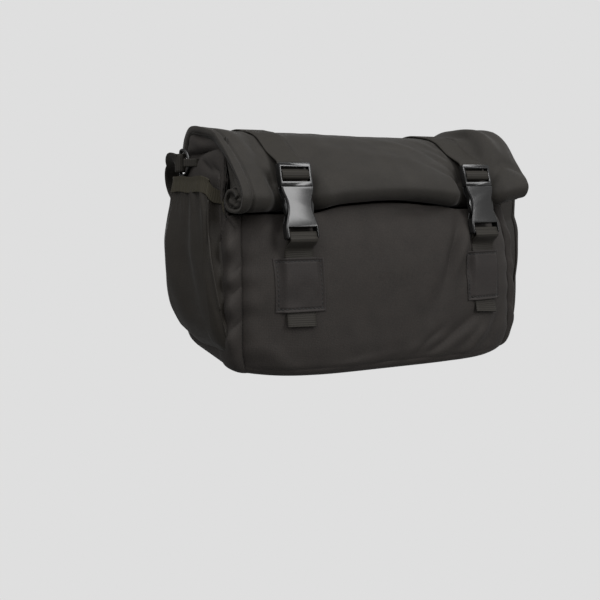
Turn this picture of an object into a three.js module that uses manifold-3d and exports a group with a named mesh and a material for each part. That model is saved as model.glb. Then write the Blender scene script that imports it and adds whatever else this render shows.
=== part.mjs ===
// A soft handlebar bag with a rolled top, two side pockets and two buckled straps.
// Millimetres, +X to the bag's right as seen from the front, +Y to the back, +Z up.
// The origin is the middle of the handlebar's axis, which runs along X behind the bag.
import * as THREE from "three";
import { mergeVertices } from "three/addons/utils/BufferGeometryUtils.js";
import Module from "manifold-3d";

const wasm = await Module();
wasm.setup();

// Sizes of the cloth body
const clothThickness = 2;
const seatGap = 0.35;
const bodyHalfWidth = 146;
const bodyDepth = 119.5;
const bottomDrop = 154;
const bottomSlope = 0.155;
const seamHalfWidth = 137;
const frontCrown = 21;
const crownPower = 5.2;
const backCornerRadius = 13;
const gussetTurn = 13;

// Sizes of the rolled top
const rollHalfLength = bodyHalfWidth - 0.5;
const rollShift = 1.5;
const rollDepth = bodyDepth - 4.5;
const rollThickness = 2.6;
const rollTop = 46;
const rimGap = 2.5;
const backRimGap = 3.4;
const rollLow = -19;
const rollLift = 12;
const strapDent = 12.5;
const dentReach = 16;

// Sizes of the side pockets and their elastic bands
const pocketDepth = 14.5;
const pocketSeat = 0.8;
const pocketFloor = -0.85 * bottomDrop;
const pocketTop = -4.5;
const bandHeight = 11.5;
const bandThickness = 2.2;
const gatherDepth = 1.3;
const gatherCount = 7;

// Sizes of the straps, patches and buckles
const strapPlace = 0.68 * seamHalfWidth;
const webbingWidth = 25;
const webbingThickness = 1.5;
const patchSide = 42;
const patchThickness = 1.2;
const patchTop = -0.38 * bottomDrop;
const tailDrop = -0.727 * bottomDrop;
const patchSeat = 0.7;
const strapRide = 0.4;
const topStrapFoot = -20;
const ladderMeets = 0.62;
const buckleTilt = 14 * Math.PI / 180;
const buckleLength = 62;
const buckleWidth = 29.5;
const buckleThickness = 7.8;
const buckleWall = 1.5;
const ladderLength = 19;
const ladderBar = 3.2;
const prongWidth = 4.2;
const buckleTopHeight = 17.5;

// Sizes of the bar, its straps and the corner rings
const barDiameter = 31.8;
const barClearance = 0.6;
const ringHeight = 25;
const ringWidth = 21;
const ringWire = 3.2;
const ringCentreHeight = 18.8;
const ringBack = 3;
const ringStand = 3.7;
const ringCorner = 3.6;
const ringRound = 0.25;
const ringLoopWidth = 7;
const ringLoopLength = 12;
const barStrapWidth = 16;
const barStrapEnd = -48;
const barStrapLean = 13;
const barStrapInset = 6;
const barStrapRise = 3;

const barRadius = barDiameter / 2;
const backFace = -(barRadius + barClearance + webbingThickness + 2 * seatGap + clothThickness);
const buckleTopForward = rollDepth - backFace - 10.7;
const sideways = new THREE.Vector3(1, 0, 0);
const upright = new THREE.Vector3(0, 0, 1);

// Mesh steps along the stretches of the half plan outline, in order: the back, its corner, the side,
// the front corner and the front
const stretchSteps = [5, 3, 9, 3, 8];
const sideStart = 2;
const frontCornerStart = 3;
const frontStart = 4;

// Level sections of the body: rise is a share of the way from the bottom to the mouth,
// width a share of the half width, back and front shares of the depth.
const bodySections = [
  { rise: 0.0, width: 0.87, back: 0.13, front: 0.89 },
  { rise: 0.015, width: 0.93, back: 0.08, front: 0.945 },
  { rise: 0.05, width: 0.97, back: 0.04, front: 0.975 },
  { rise: 0.11, width: 0.988, back: 0.02, front: 0.99 },
  { rise: 0.2, width: 1.0, back: 0.005, front: 1.0 },
  { rise: 0.38, width: 1.0, back: 0.0, front: 1.0 },
  { rise: 0.58, width: 1.0, back: 0.0, front: 0.995 },
  { rise: 0.78, width: 0.99, back: 0.0, front: 0.965 },
  { rise: 0.9, width: 0.975, back: 0.0, front: 0.925 },
  { rise: 1.0, width: 0.955, back: 0.0, front: 0.875 },
];

// Where the mouth's rim leaves the gable and drops under the roll, as shares of the depth
const gableEnd = 0.64;
const gableFoot = 0.68;

// Broad drag folds of the front panel: across and tall are shares of the half width and of the drop,
// lean is degrees from upright, reach and spread shares of the drop, deep a share of the crown.
const frontFolds = [
  { across: -0.86, tall: -0.62, lean: 8, reach: 0.3, spread: 0.06, deep: -0.1 },
  { across: 0.3, tall: -0.5, lean: 38, reach: 0.2, spread: 0.06, deep: 0.12 },
  { across: 0.5, tall: -0.88, lean: 70, reach: 0.2, spread: 0.05, deep: -0.08 },
  { across: -0.2, tall: -0.9, lean: 75, reach: 0.3, spread: 0.05, deep: -0.08 },
];

// Creases of the gussets above the pockets: forward is a share of the depth, tall a share of the
// roll's top, both for the middle of the crease, and deep is a share of the pocket's depth.
const gussetFolds = [
  { forward: 0.24, tall: 0.66, long: 0.3, thick: 0.1, deep: 0.55 },
  { forward: 0.14, tall: 0.42, long: 0.1, thick: 0.12, deep: 0.3 },
];

// The roll's path from the back rim, over the top, down the front and into the roll.
// forward is a share of the roll's depth, lift a share of its height.
const rollPath = [
  { forward: 0.015, lift: 0.75 },
  { forward: 0.05, lift: 0.9 },
  { forward: 0.15, lift: 1.0 },
  { forward: 0.33, lift: 0.98 },
  { forward: 0.52, lift: 0.92 },
  { forward: 0.64, lift: 0.8 },
  { forward: 0.75, lift: 0.665 },
  { forward: 0.85, lift: 0.51 },
  { forward: 0.93, lift: 0.37 },
  { forward: 0.985, lift: 0.24 },
  { forward: 1.0, lift: 0.14 },
  { forward: 0.96, lift: 0.03 },
  { forward: 0.86, lift: 0.0 },
  { forward: 0.77, lift: 0.03 },
  { forward: 0.735, lift: 0.13 },
  { forward: 0.78, lift: 0.225 },
  { forward: 0.86, lift: 0.225 },
  { forward: 0.91, lift: 0.165 },
];
const rollTopShare = 0.3;

// Stations along the roll: along is a share of its half length, low, top and push shares of
// rollLift. push is outwards where it is positive, and shoulder lifts the front of the top.
const rollStations = [
  { along: -1.0, low: -0.15, top: 0.17, push: 0.0, shoulder: 0.0 },
  { along: -0.88, low: -0.15, top: 0.1, push: 0.05, shoulder: 0.0 },
  { along: -0.76, low: -0.12, top: -0.12, push: 0.0, shoulder: 0.0 },
  { along: -0.55, low: -0.12, top: -0.12, push: 0.0, shoulder: 0.0 },
  { along: -0.35, low: 0.35, top: -0.1, push: 0.2, shoulder: 0.0 },
  { along: 0.0, low: 0.6, top: -0.18, push: 0.3, shoulder: 0.0 },
  { along: 0.3, low: 0.4, top: -0.2, push: 0.2, shoulder: 0.0 },
  { along: 0.52, low: 0.05, top: -0.25, push: 0.0, shoulder: 0.0 },
  { along: 0.74, low: 0.05, top: -0.2, push: 0.0, shoulder: 0.0 },
  { along: 0.88, low: 0.4, top: 0.45, push: 0.1, shoulder: 0.85 },
  { along: 1.0, low: 0.65, top: 0.25, push: 0.0, shoulder: 0.8 },
];

// How the pocket stands off the body from its back edge to the front seam, as shares of its depth:
// belly at mid height and mouth at the band. The last rows are the pleat's crest and its valley.
const pocketAcross = [
  { along: 0.0, belly: 0.0, mouth: 0.04 },
  { along: 0.06, belly: 0.62, mouth: 0.38 },
  { along: 0.14, belly: 1.0, mouth: 0.6 },
  { along: 0.4, belly: 1.0, mouth: 0.63 },
  { along: 0.62, belly: 0.82, mouth: 0.62 },
  { along: 0.78, belly: 0.58, mouth: 0.72 },
  { along: 0.85, belly: 0.5, mouth: 0.7 },
  { along: 0.89, belly: 0.26, mouth: 0.42 },
  { along: 0.94, belly: 0.24, mouth: 0.34 },
  { along: 1.0, belly: 0.0, mouth: 0.2 },
];

// How the pocket fills from its floor to its mouth
const pocketUpward = [
  { tall: 0.0, puff: 0.0 },
  { tall: 0.06, puff: 0.42 },
  { tall: 0.2, puff: 0.8 },
  { tall: 0.45, puff: 1.0 },
  { tall: 0.75, puff: 1.0 },
  { tall: 1.0, puff: 1.0 },
];
const pocketStart = 1.4;
const pocketEndLow = 3.96;
const pocketEndHigh = 3.4;
const bandEnd = 3.0;

function tableAt(table, key, value) {
  let index = 1;
  while (index < table.length - 1 && table[index][key] < value) {
    index += 1;
  }
  const low = table[index - 1];
  const high = table[index];
  const share = THREE.MathUtils.clamp((value - low[key]) / (high[key] - low[key]), 0, 1);
  const row = {};
  for (const name of Object.keys(low)) {
    row[name] = THREE.MathUtils.lerp(low[name], high[name], share);
  }
  return row;
}

function bell(distance, width) {
  return Math.exp(-((distance / width) ** 2));
}

// Closed solids from two matching grids of points, the outer and the inner face of a sheet
function solidFromFaces(points, faces) {
  const positions = points.flatMap((point) => [point.x, point.y, point.z]);
  let volume = 0;
  for (const [a, b, c] of faces) {
    volume += points[a].dot(new THREE.Vector3().crossVectors(points[b], points[c]));
  }
  const index = faces.flatMap(([a, b, c]) => (volume < 0 ? [a, c, b] : [a, b, c]));
  const geometry = new THREE.BufferGeometry();
  geometry.setAttribute("position", new THREE.Float32BufferAttribute(positions, 3));
  geometry.setIndex(index);
  geometry.computeVertexNormals();
  return geometry;
}

function sheetSolid(outer, inner) {
  const rows = outer.length;
  const columns = outer[0].length;
  const points = [...outer.flat(), ...inner.flat()];
  const at = (face, row, column) => face * rows * columns + row * columns + column;
  const faces = [];
  const quad = (a, b, c, d) => faces.push([a, b, c], [a, c, d]);
  for (let row = 0; row < rows - 1; row += 1) {
    for (let column = 0; column < columns - 1; column += 1) {
      quad(at(0, row, column), at(0, row, column + 1), at(0, row + 1, column + 1), at(0, row + 1, column));
      quad(at(1, row, column), at(1, row + 1, column), at(1, row + 1, column + 1), at(1, row, column + 1));
    }
    quad(at(0, row, 0), at(0, row + 1, 0), at(1, row + 1, 0), at(1, row, 0));
    const last = columns - 1;
    quad(at(0, row + 1, last), at(0, row, last), at(1, row, last), at(1, row + 1, last));
  }
  for (let column = 0; column < columns - 1; column += 1) {
    quad(at(0, 0, column + 1), at(0, 0, column), at(1, 0, column), at(1, 0, column + 1));
    const end = rows - 1;
    quad(at(0, end, column), at(0, end, column + 1), at(1, end, column + 1), at(1, end, column));
  }
  return solidFromFaces(points, faces);
}

function tubSolid(outerRings, innerRings, outerPole, innerPole) {
  const count = outerRings[0].length;
  const rings = [...outerRings, ...innerRings];
  const points = [...rings.flat(), outerPole, innerPole];
  const faces = [];
  for (let ring = 0; ring < rings.length - 1; ring += 1) {
    for (let step = 0; step < count; step += 1) {
      const next = (step + 1) % count;
      const a = ring * count + step;
      const b = ring * count + next;
      faces.push([a, b, b + count], [a, b + count, a + count]);
    }
  }
  const lastRing = (rings.length - 1) * count;
  for (let step = 0; step < count; step += 1) {
    const next = (step + 1) % count;
    faces.push([points.length - 2, next, step]);
    faces.push([points.length - 1, lastRing + step, lastRing + next]);
  }
  return solidFromFaces(points, faces);
}

// A webbing strip along a path of middle points, each with the direction of the strip's width
function stripSolid(path, width, thickness) {
  const outer = [];
  const inner = [];
  path.forEach(({ place, across }, index) => {
    const before = path[Math.max(index - 1, 0)].place;
    const after = path[Math.min(index + 1, path.length - 1)].place;
    const along = new THREE.Vector3().subVectors(after, before).normalize();
    const face = new THREE.Vector3().crossVectors(across, along).normalize();
    const row = (offset) => [-0.5, 0.5].map((side) => place.clone()
      .addScaledVector(across, side * width)
      .addScaledVector(face, offset));
    outer.push(row(thickness / 2));
    inner.push(row(-thickness / 2));
  });
  return sheetSolid(outer, inner);
}

// Points along a curve through the places given, all with the same direction across
function levelStrip(places, steps) {
  const curve = new THREE.CatmullRomCurve3(places, false, "centripetal");
  return curve.getSpacedPoints(steps).map((place) => ({ place, across: sideways }));
}

// The rolled top's middle surface at a share of its path, and the station's own values
function rollStation(x) {
  return tableAt(rollStations, "along", (x - rollShift) / rollHalfLength);
}

const rollCurve = new THREE.SplineCurve(rollPath.map((row) => new THREE.Vector2(row.forward, row.lift)));
const rollSamples = 30;
const rollStep = 12;
const rollFree = 0.12;
const strapRoom = webbingWidth / 2 + 1;
const rollShares = rollCurve.getSpacedPoints(rollSamples);

function rollAt(x, share) {
  const station = rollStation(x);
  const beside = Math.abs(Math.abs(x) - strapPlace) - strapRoom;
  const held = 1 - THREE.MathUtils.smoothstep(beside, 0, dentReach);
  const front = THREE.MathUtils.smoothstep(share.x, 0.3, 0.7);
  const lowFront = front * THREE.MathUtils.lerp(0.2, 1, 1 - THREE.MathUtils.smoothstep(share.y, 0.28, 0.62));
  const y = backFace - rollDepth * share.x + strapDent * held * lowFront - rollLift * station.push * front;
  const level = THREE.MathUtils.lerp(rollLow, rollTop, share.y);
  const free = THREE.MathUtils.smoothstep(share.x, rollShares[0].x, rollFree);
  const shoulder = station.shoulder * bell(share.x - 0.66, 0.2) * THREE.MathUtils.smoothstep(share.y, 0.3, 0.7);
  const slack = THREE.MathUtils.lerp(station.low, station.top, share.y) + shoulder;
  const z = level + rollLift * free * slack;
  return new THREE.Vector3(x, y, z);
}

function rollFace(x, index, offset) {
  const before = rollAt(x, rollShares[Math.max(index - 1, 0)]);
  const after = rollAt(x, rollShares[Math.min(index + 1, rollSamples)]);
  const along = after.sub(before).normalize();
  const outward = new THREE.Vector3(0, along.z, -along.y).negate();
  return rollAt(x, rollShares[index]).addScaledVector(outward, -offset);
}

// The middle surface's height over one place of the top, and its slope
function rollUnderside(x, y) {
  const top = rollShares.filter((share) => share.y > rollTopShare);
  let index = 1;
  while (index < top.length - 1 && rollAt(x, top[index]).y > y) {
    index += 1;
  }
  const behind = rollAt(x, top[index - 1]);
  const ahead = rollAt(x, top[index]);
  const share = THREE.MathUtils.clamp((behind.y - y) / (behind.y - ahead.y), 0, 1);
  const height = THREE.MathUtils.lerp(behind.z, ahead.z, share);
  const slope = Math.hypot(ahead.y - behind.y, ahead.z - behind.z) / (behind.y - ahead.y);
  return height - (rollThickness / 2 + rimGap) * slope;
}

function rimHeight(x, y) {
  const reach = THREE.MathUtils.clamp(x, -rollHalfLength + rollShift, rollHalfLength + rollShift);
  const forward = (backFace - y) / bodyDepth;
  const low = rollLow + rollLift * rollStation(reach).low - rollThickness / 2 - rimGap;
  const start = rollAt(reach, rollShares[0]);
  const gable = y > start.y - 2 * rollThickness ? start.z - backRimGap : rollUnderside(reach, y);
  const drop = THREE.MathUtils.smoothstep(forward, gableEnd, gableFoot);
  return THREE.MathUtils.lerp(Math.max(gable, low), low, drop);
}

function floorHeight(y) {
  return -bottomDrop + bottomSlope * (y - backFace + bodyDepth);
}

// One place on the plan outline of a section, inset for the inner face. turn counts the stretches.
function outlinePoint(section, inset, turn) {
  const width = bodyHalfWidth * section.width - inset;
  const back = backFace - bodyDepth * section.back - inset;
  const front = backFace - bodyDepth * section.front + inset;
  const seam = seamHalfWidth * section.width - inset;
  const seamBack = front + frontCrown;
  const stretch = Math.min(Math.floor(turn), frontStart);
  const share = turn - stretch;
  const sideEnd = seamBack + gussetTurn;
  if (stretch === 0) {
    return { x: share * (width - backCornerRadius), y: back };
  }
  if (stretch === 1) {
    const angle = share * Math.PI / 2;
    return {
      x: width - backCornerRadius * (1 - Math.sin(angle)),
      y: back - backCornerRadius * (1 - Math.cos(angle)),
    };
  }
  if (stretch === sideStart) {
    return { x: width, y: THREE.MathUtils.lerp(back - backCornerRadius, sideEnd, share) };
  }
  if (stretch === frontCornerStart) {
    const rest = 1 - share;
    return {
      x: width * (rest * rest + 2 * rest * share) + seam * share * share,
      y: sideEnd * rest * rest + seamBack * (2 * rest * share + share * share),
    };
  }
  const x = seam * (1 - share);
  return { x, y: front + frontCrown * (x / seam) ** crownPower };
}

function foldDepth(x, y, z) {
  let depth = 0;
  for (const fold of frontFolds) {
    const dx = x - fold.across * seamHalfWidth;
    const dz = z - fold.tall * bottomDrop;
    const lean = fold.lean * Math.PI / 180;
    const along = dx * Math.sin(lean) + dz * Math.cos(lean);
    const beside = dx * Math.cos(lean) - dz * Math.sin(lean);
    const near = bell(along, fold.reach * bottomDrop) * bell(beside, fold.spread * bottomDrop);
    depth += fold.deep * frontCrown * near;
  }
  return y < backFace - bodyDepth / 2 ? depth : 0;
}

function gussetDent(x, y, z) {
  const beside = THREE.MathUtils.smoothstep(Math.abs(x), seamHalfWidth - backCornerRadius, seamHalfWidth);
  let depth = 0;
  for (const fold of gussetFolds) {
    const dy = (backFace - y) / bodyDepth - fold.forward;
    const dz = z / rollTop - fold.tall;
    depth += fold.deep * pocketDepth * bell(dy, fold.long) * bell(dz, fold.thick);
  }
  return depth * beside;
}

function bodyPoint(side, turn, rise, inset) {
  const plan = outlinePoint(tableAt(bodySections, "rise", rise), inset, turn);
  const x = side * plan.x;
  const floor = floorHeight(plan.y) + inset;
  const z = THREE.MathUtils.lerp(floor, rimHeight(x, plan.y), rise);
  const dent = gussetDent(x, plan.y, z);
  return new THREE.Vector3(x - side * dent, plan.y + foldDepth(x, plan.y, z), z);
}

// The body's outer face at a height, and the way out of it
function bodyAtHeight(side, turn, z) {
  let rise = 0.5;
  let low = 0;
  let high = 1;
  for (let step = 0; step < 16; step += 1) {
    rise = (low + high) / 2;
    if (bodyPoint(side, turn, rise, 0).z < z) {
      low = rise;
    } else {
      high = rise;
    }
  }
  return bodyPoint(side, turn, rise, 0);
}

function bodyOut(side, turn, z) {
  const reach = 0.04;
  const ahead = bodyAtHeight(side, turn + reach, z);
  const behind = bodyAtHeight(side, turn - reach, z);
  const level = ahead.sub(behind).setZ(0).normalize();
  return new THREE.Vector3(-level.y * side, level.x * side, 0);
}

function bodyRing(rise, inset) {
  const ring = [];
  const turns = stretchSteps.flatMap((steps, stretch) => (
    Array.from({ length: steps }, (_, step) => stretch + step / steps)));
  const whole = [...turns, stretchSteps.length];
  whole.forEach((turn) => ring.push(bodyPoint(1, turn, rise, inset)));
  whole.slice(1, -1).reverse().forEach((turn) => ring.push(bodyPoint(-1, turn, rise, inset)));
  return ring;
}

function bodyGeometry() {
  const rises = bodySections.map((section) => section.rise);
  const outer = rises.map((rise) => bodyRing(rise, 0));
  const inner = rises.map((rise) => bodyRing(rise, clothThickness));
  const middle = (ring, inset) => {
    const y = (ring[0].y + ring[stretchSteps.reduce((sum, steps) => sum + steps, 0)].y) / 2;
    return new THREE.Vector3(0, y, floorHeight(y) + inset);
  };
  const outerPole = middle(outer[0], 0);
  const innerPole = middle(inner[0], clothThickness);
  return tubSolid(outer, [...inner].reverse(), outerPole, innerPole);
}

// The roll's stations keep a flat bed under each strap
function rollPlaces() {
  const beds = [-1, 1].flatMap((side) => [side * strapPlace - strapRoom, side * strapPlace + strapRoom]);
  const marks = [rollShift - rollHalfLength, ...beds, rollShift + rollHalfLength];
  const places = [marks[0]];
  for (let mark = 1; mark < marks.length; mark += 1) {
    const length = marks[mark] - marks[mark - 1];
    const isBed = mark % 2 === 0;
    const steps = isBed ? 2 : Math.ceil(length / rollStep);
    for (let step = 1; step <= steps; step += 1) {
      places.push(marks[mark - 1] + length * step / steps);
    }
  }
  return places;
}

function rollGeometry() {
  const face = (offset) => rollPlaces().map((x) => rollShares.map((_, index) => rollFace(x, index, offset)));
  return sheetSolid(face(rollThickness / 2), face(-rollThickness / 2));
}

// The side pocket, as cloth standing off the body from its back corner to its front seam
function pocketOffset(along, tall) {
  const across = tableAt(pocketAcross, "along", along);
  const fill = tableAt(pocketUpward, "tall", tall).puff;
  const mouthShare = THREE.MathUtils.smoothstep(tall, 0.6, 1);
  const stand = THREE.MathUtils.lerp(across.belly, across.mouth, mouthShare) * fill;
  const inside = THREE.MathUtils.smoothstep(along, 0.04, 0.12) * (1 - THREE.MathUtils.smoothstep(along, 0.7, 0.82));
  const gather = gatherDepth * inside * bell(1 - tall, 0.22) * Math.cos(2 * Math.PI * gatherCount * along);
  return pocketDepth * stand + gather;
}

function pocketTurn(along, tall) {
  return THREE.MathUtils.lerp(pocketStart, THREE.MathUtils.lerp(pocketEndLow, pocketEndHigh, tall), along);
}

function pocketFloorAt(turn) {
  const lifted = 1 - THREE.MathUtils.smoothstep(turn, pocketStart, sideStart + 0.45);
  return THREE.MathUtils.lerp(pocketFloor, pocketFloor * 0.87, lifted);
}

function pocketTopAt(turn) {
  const dropped = THREE.MathUtils.smoothstep(turn, bandEnd - 0.02, bandEnd + 0.1);
  const lowest = rollLow + rollLift * rollStations[0].low - 1.5 * rollThickness - 2 * seatGap;
  return THREE.MathUtils.lerp(pocketTop, lowest, dropped);
}

function pocketPoint(side, along, tall, offset) {
  const turn = pocketTurn(along, tall);
  const z = THREE.MathUtils.lerp(pocketFloorAt(turn), pocketTopAt(turn), tall);
  const stand = pocketOffset(along, tall) + pocketSeat + clothThickness / 2 + offset;
  return bodyAtHeight(side, turn, z).addScaledVector(bodyOut(side, turn, z), stand);
}

function pocketGeometry(side) {
  const columns = 30;
  const rows = 9;
  const grid = (offset) => Array.from({ length: rows + 1 }, (_, row) => (
    Array.from({ length: columns + 1 }, (__, column) => (
      pocketPoint(side, column / columns, row / rows, offset)))));
  return sheetSolid(grid(clothThickness / 2), grid(-clothThickness / 2));
}

function bandGeometry(side) {
  const columns = 16;
  const start = pocketStart + 0.03;
  const grid = (offset) => [0, 1].map((row) => (
    Array.from({ length: columns + 1 }, (_, column) => {
      const turn = THREE.MathUtils.lerp(start, bandEnd, column / columns);
      const along = (turn - pocketStart) / (pocketEndHigh - pocketStart);
      const z = pocketTop + seatGap + bandHeight * row;
      const mouth = tableAt(pocketAcross, "along", along).mouth * pocketDepth;
      const stand = mouth + pocketSeat + bandThickness / 2 + offset;
      return bodyAtHeight(side, turn, z).addScaledVector(bodyOut(side, turn, z), stand);
    })));
  return sheetSolid(grid(bandThickness / 2), grid(-bandThickness / 2));
}

// Places on the buckle: down its length from the ladder's top, and out from its middle plane
function buckleAt(side, down, out) {
  const y = -buckleTopForward - down * Math.sin(buckleTilt) - out * Math.cos(buckleTilt);
  const z = buckleTopHeight - down * Math.cos(buckleTilt) + out * Math.sin(buckleTilt);
  return new THREE.Vector3(side * strapPlace, y, z);
}

function onBuckle(geometry, side) {
  geometry.rotateX(-buckleTilt);
  geometry.translate(side * strapPlace, -buckleTopForward, buckleTopHeight);
  return geometry;
}

// A flat outline across X and down Z, given its thickness along Y
function plate(shape, thickness, round) {
  const geometry = new THREE.ExtrudeGeometry(shape, {
    depth: thickness - 2 * round,
    bevelEnabled: round > 0,
    bevelThickness: round,
    bevelSize: round,
    bevelOffset: -round,
    bevelSegments: 1,
    curveSegments: 5,
  });
  geometry.translate(0, 0, round - thickness / 2);
  geometry.rotateX(Math.PI / 2);
  return geometry;
}

function asManifold(geometry) {
  const bare = geometry.clone();
  bare.deleteAttribute("normal");
  bare.deleteAttribute("uv");
  const merged = mergeVertices(bare);
  return new wasm.Manifold(new wasm.Mesh({
    numProp: 3,
    vertProperties: new Float32Array(merged.attributes.position.array),
    triVerts: new Uint32Array(merged.index.array),
  }));
}

function fromManifold(solid) {
  const mesh = solid.getMesh();
  const geometry = new THREE.BufferGeometry();
  geometry.setAttribute("position", new THREE.BufferAttribute(mesh.vertProperties, 3));
  geometry.setIndex(new THREE.BufferAttribute(mesh.triVerts, 1));
  geometry.computeVertexNormals();
  return geometry;
}

function box(width, thickness, height, x, y, z) {
  const geometry = new THREE.BoxGeometry(width, thickness, height);
  geometry.translate(x, y, z);
  return geometry;
}

const slotWidth = webbingWidth + 0.8;
const ladderSlot = (ladderLength - 3 * ladderBar) / 2;
const middleBar = ladderBar + ladderSlot + ladderBar / 2;
const socketTop = ladderLength + seatGap;
const socketLength = buckleLength - socketTop;
const waistShare = 0.42;
const waistWidth = 0.74;
const socketRound = 1;
const socketSlot = 6;
const ladderThickness = 5.4;
const wrapBar = 2.6;
const wrapOut = wrapBar / 2 + seatGap + webbingThickness / 2;
const wrapClear = wrapOut - wrapBar / 2;

// The plug: a ladder frame with two slots, a guide and two springy prongs inside the socket
function plugGeometry(side) {
  const frame = new THREE.Shape();
  const half = buckleWidth / 2;
  const round = ladderBar / 2;
  frame.moveTo(-half + round, 0);
  frame.lineTo(half - round, 0);
  frame.quadraticCurveTo(half, 0, half, -round);
  frame.lineTo(half, -ladderLength);
  frame.lineTo(-half, -ladderLength);
  frame.lineTo(-half, -round);
  frame.quadraticCurveTo(-half, 0, -half + round, 0);
  for (const start of [ladderBar, 2 * ladderBar + ladderSlot]) {
    const slot = new THREE.Path();
    slot.moveTo(-slotWidth / 2, -start);
    slot.lineTo(-slotWidth / 2, -start - ladderSlot);
    slot.lineTo(slotWidth / 2, -start - ladderSlot);
    slot.lineTo(slotWidth / 2, -start);
    frame.holes.push(slot);
  }
  let solid = asManifold(plate(frame, ladderThickness, 0));
  for (const face of [-1, 1]) {
    const recess = box(slotWidth, ladderThickness, ladderBar + 1, 0, face * (wrapBar + ladderThickness) / 2, -middleBar);
    solid = solid.subtract(asManifold(recess));
  }
  const prongThickness = buckleThickness - 2 * buckleWall - 2 * seatGap;
  const guideLength = socketLength * 0.55;
  const inner = buckleWidth / 2 - buckleWall - seatGap;
  solid = solid.add(asManifold(box(4, prongThickness, guideLength + 1, 0, 0, -ladderLength - guideLength / 2 + 0.5)));
  for (const hand of [-1, 1]) {
    const prong = new THREE.Shape();
    const reach = socketLength * 0.62;
    const shoulder = socketLength * 0.3;
    prong.moveTo(hand * (inner - prongWidth), -ladderLength + 0.5);
    prong.lineTo(hand * inner, -ladderLength + 0.5);
    prong.lineTo(hand * (inner - 0.5), -ladderLength - shoulder);
    prong.lineTo(hand * (inner + 0.6), -ladderLength - shoulder - 3);
    prong.lineTo(hand * (inner - 0.6), -ladderLength - reach + 3);
    prong.lineTo(hand * (inner - prongWidth), -ladderLength - reach);
    solid = solid.add(asManifold(plate(prong, prongThickness, 0)));
  }
  return onBuckle(fromManifold(solid), side);
}

// The socket's outline: wide at its mouth, waisted where the prongs show, wide again at its slot
function socketOutline() {
  const half = buckleWidth / 2;
  const waist = half * waistWidth;
  const low = -buckleLength;
  const shoulder = -socketTop - socketLength * 0.19;
  const narrowest = -socketTop - socketLength * waistShare;
  const flare = -socketTop - socketLength * 0.56;
  const hip = low + socketLength * 0.33;
  const foot = low + socketLength * 0.19;
  const outline = new THREE.Shape();
  outline.moveTo(-half, -socketTop);
  outline.lineTo(half, -socketTop);
  outline.bezierCurveTo(half, shoulder, waist, shoulder, waist, narrowest);
  outline.bezierCurveTo(waist, flare, half, hip, half, foot);
  outline.lineTo(half, low + socketRound);
  outline.lineTo(half - socketRound, low);
  outline.lineTo(-half + socketRound, low);
  outline.lineTo(-half, low + socketRound);
  outline.lineTo(-half, foot);
  outline.bezierCurveTo(-half, hip, -waist, flare, -waist, narrowest);
  outline.bezierCurveTo(-waist, shoulder, -half, shoulder, -half, -socketTop);
  return outline;
}

function socketGeometry(side) {
  let solid = asManifold(plate(socketOutline(), buckleThickness, 1));
  const hollowThickness = buckleThickness - 2 * buckleWall;
  const hollowLength = socketLength * 0.7;
  const hollow = box(buckleWidth * 2, hollowThickness, hollowLength, 0, 0, -socketTop - hollowLength / 2 + 0.5);
  const slotHeight = -buckleLength + socketSlot / 2 + ladderBar;
  const slot = box(slotWidth, buckleThickness * 2, socketSlot, 0, 0, slotHeight);
  solid = solid.subtract(asManifold(hollow)).subtract(asManifold(slot));
  for (const face of [-1, 1]) {
    const lip = box(slotWidth, buckleThickness, 2 * ladderBar + 1, 0, face * (wrapBar + buckleThickness) / 2, -buckleLength);
    solid = solid.subtract(asManifold(lip));
  }
  return onBuckle(fromManifold(solid), side);
}

// The front panel's outer face at a place across and a height, and the way out of it
function frontAt(x, z) {
  const side = Math.sign(x) || 1;
  let low = 0;
  let high = 1;
  let point = null;
  for (let step = 0; step < 16; step += 1) {
    const rise = (low + high) / 2;
    const reach = seamHalfWidth * tableAt(bodySections, "rise", rise).width;
    point = bodyPoint(side, stretchSteps.length - Math.abs(x) / reach, rise, 0);
    if (point.z < z) {
      low = rise;
    } else {
      high = rise;
    }
  }
  return point;
}

function frontOut(x, z) {
  const reach = 3;
  const across = frontAt(x + reach, z).sub(frontAt(x - reach, z));
  const tall = frontAt(x, z + reach).sub(frontAt(x, z - reach));
  return across.cross(tall).normalize();
}

// The strap over the roll: up the back, over the top and down behind the ladder, round its bar
function topStrapGeometry(side) {
  const x = side * strapPlace;
  const stand = rollThickness / 2 + seatGap + webbingThickness / 2;
  const back = backFace + seatGap + webbingThickness / 2;
  const rim = rollAt(x, rollShares[0]).z;
  const places = [new THREE.Vector3(x, back, topStrapFoot), new THREE.Vector3(x, back, (topStrapFoot + rim) / 2)];
  for (let index = 0; index <= rollSamples; index += 1) {
    const place = rollFace(x, index, stand + strapRide);
    if (rollShares[index].y < ladderMeets || index > rollSamples / 2) {
      break;
    }
    places.push(place);
  }
  const path = levelStrip(places, 30);
  const behind = -ladderThickness / 2 - seatGap - webbingThickness / 2;
  const wrap = [
    [-ladderBar, behind - 1.2],
    [ladderBar / 2, behind - 0.8],
    [middleBar - 2, behind - 0.6],
    [middleBar + 2.2, behind + 0.7],
    [middleBar + ladderBar / 2 + wrapClear + 0.6, -wrapOut + 0.6],
    [middleBar + ladderBar / 2 + wrapClear + 0.6, wrapOut - 0.8],
    [middleBar + ladderBar / 2, wrapOut + 0.3],
    [middleBar, wrapOut + 0.3],
    [middleBar - ladderBar / 2, wrapOut + 0.3],
    [middleBar - ladderBar / 2 - wrapClear - 0.3, wrapOut - 0.9],
    [middleBar - ladderBar / 2 - wrapClear - 0.6, -0.2],
    [middleBar - ladderBar / 2 - 0.9, -wrapOut + 0.2],
  ];
  for (const [down, out] of wrap) {
    path.push({ place: buckleAt(side, down, out), across: sideways });
  }
  return stripSolid(path, webbingWidth, webbingThickness);
}

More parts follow.
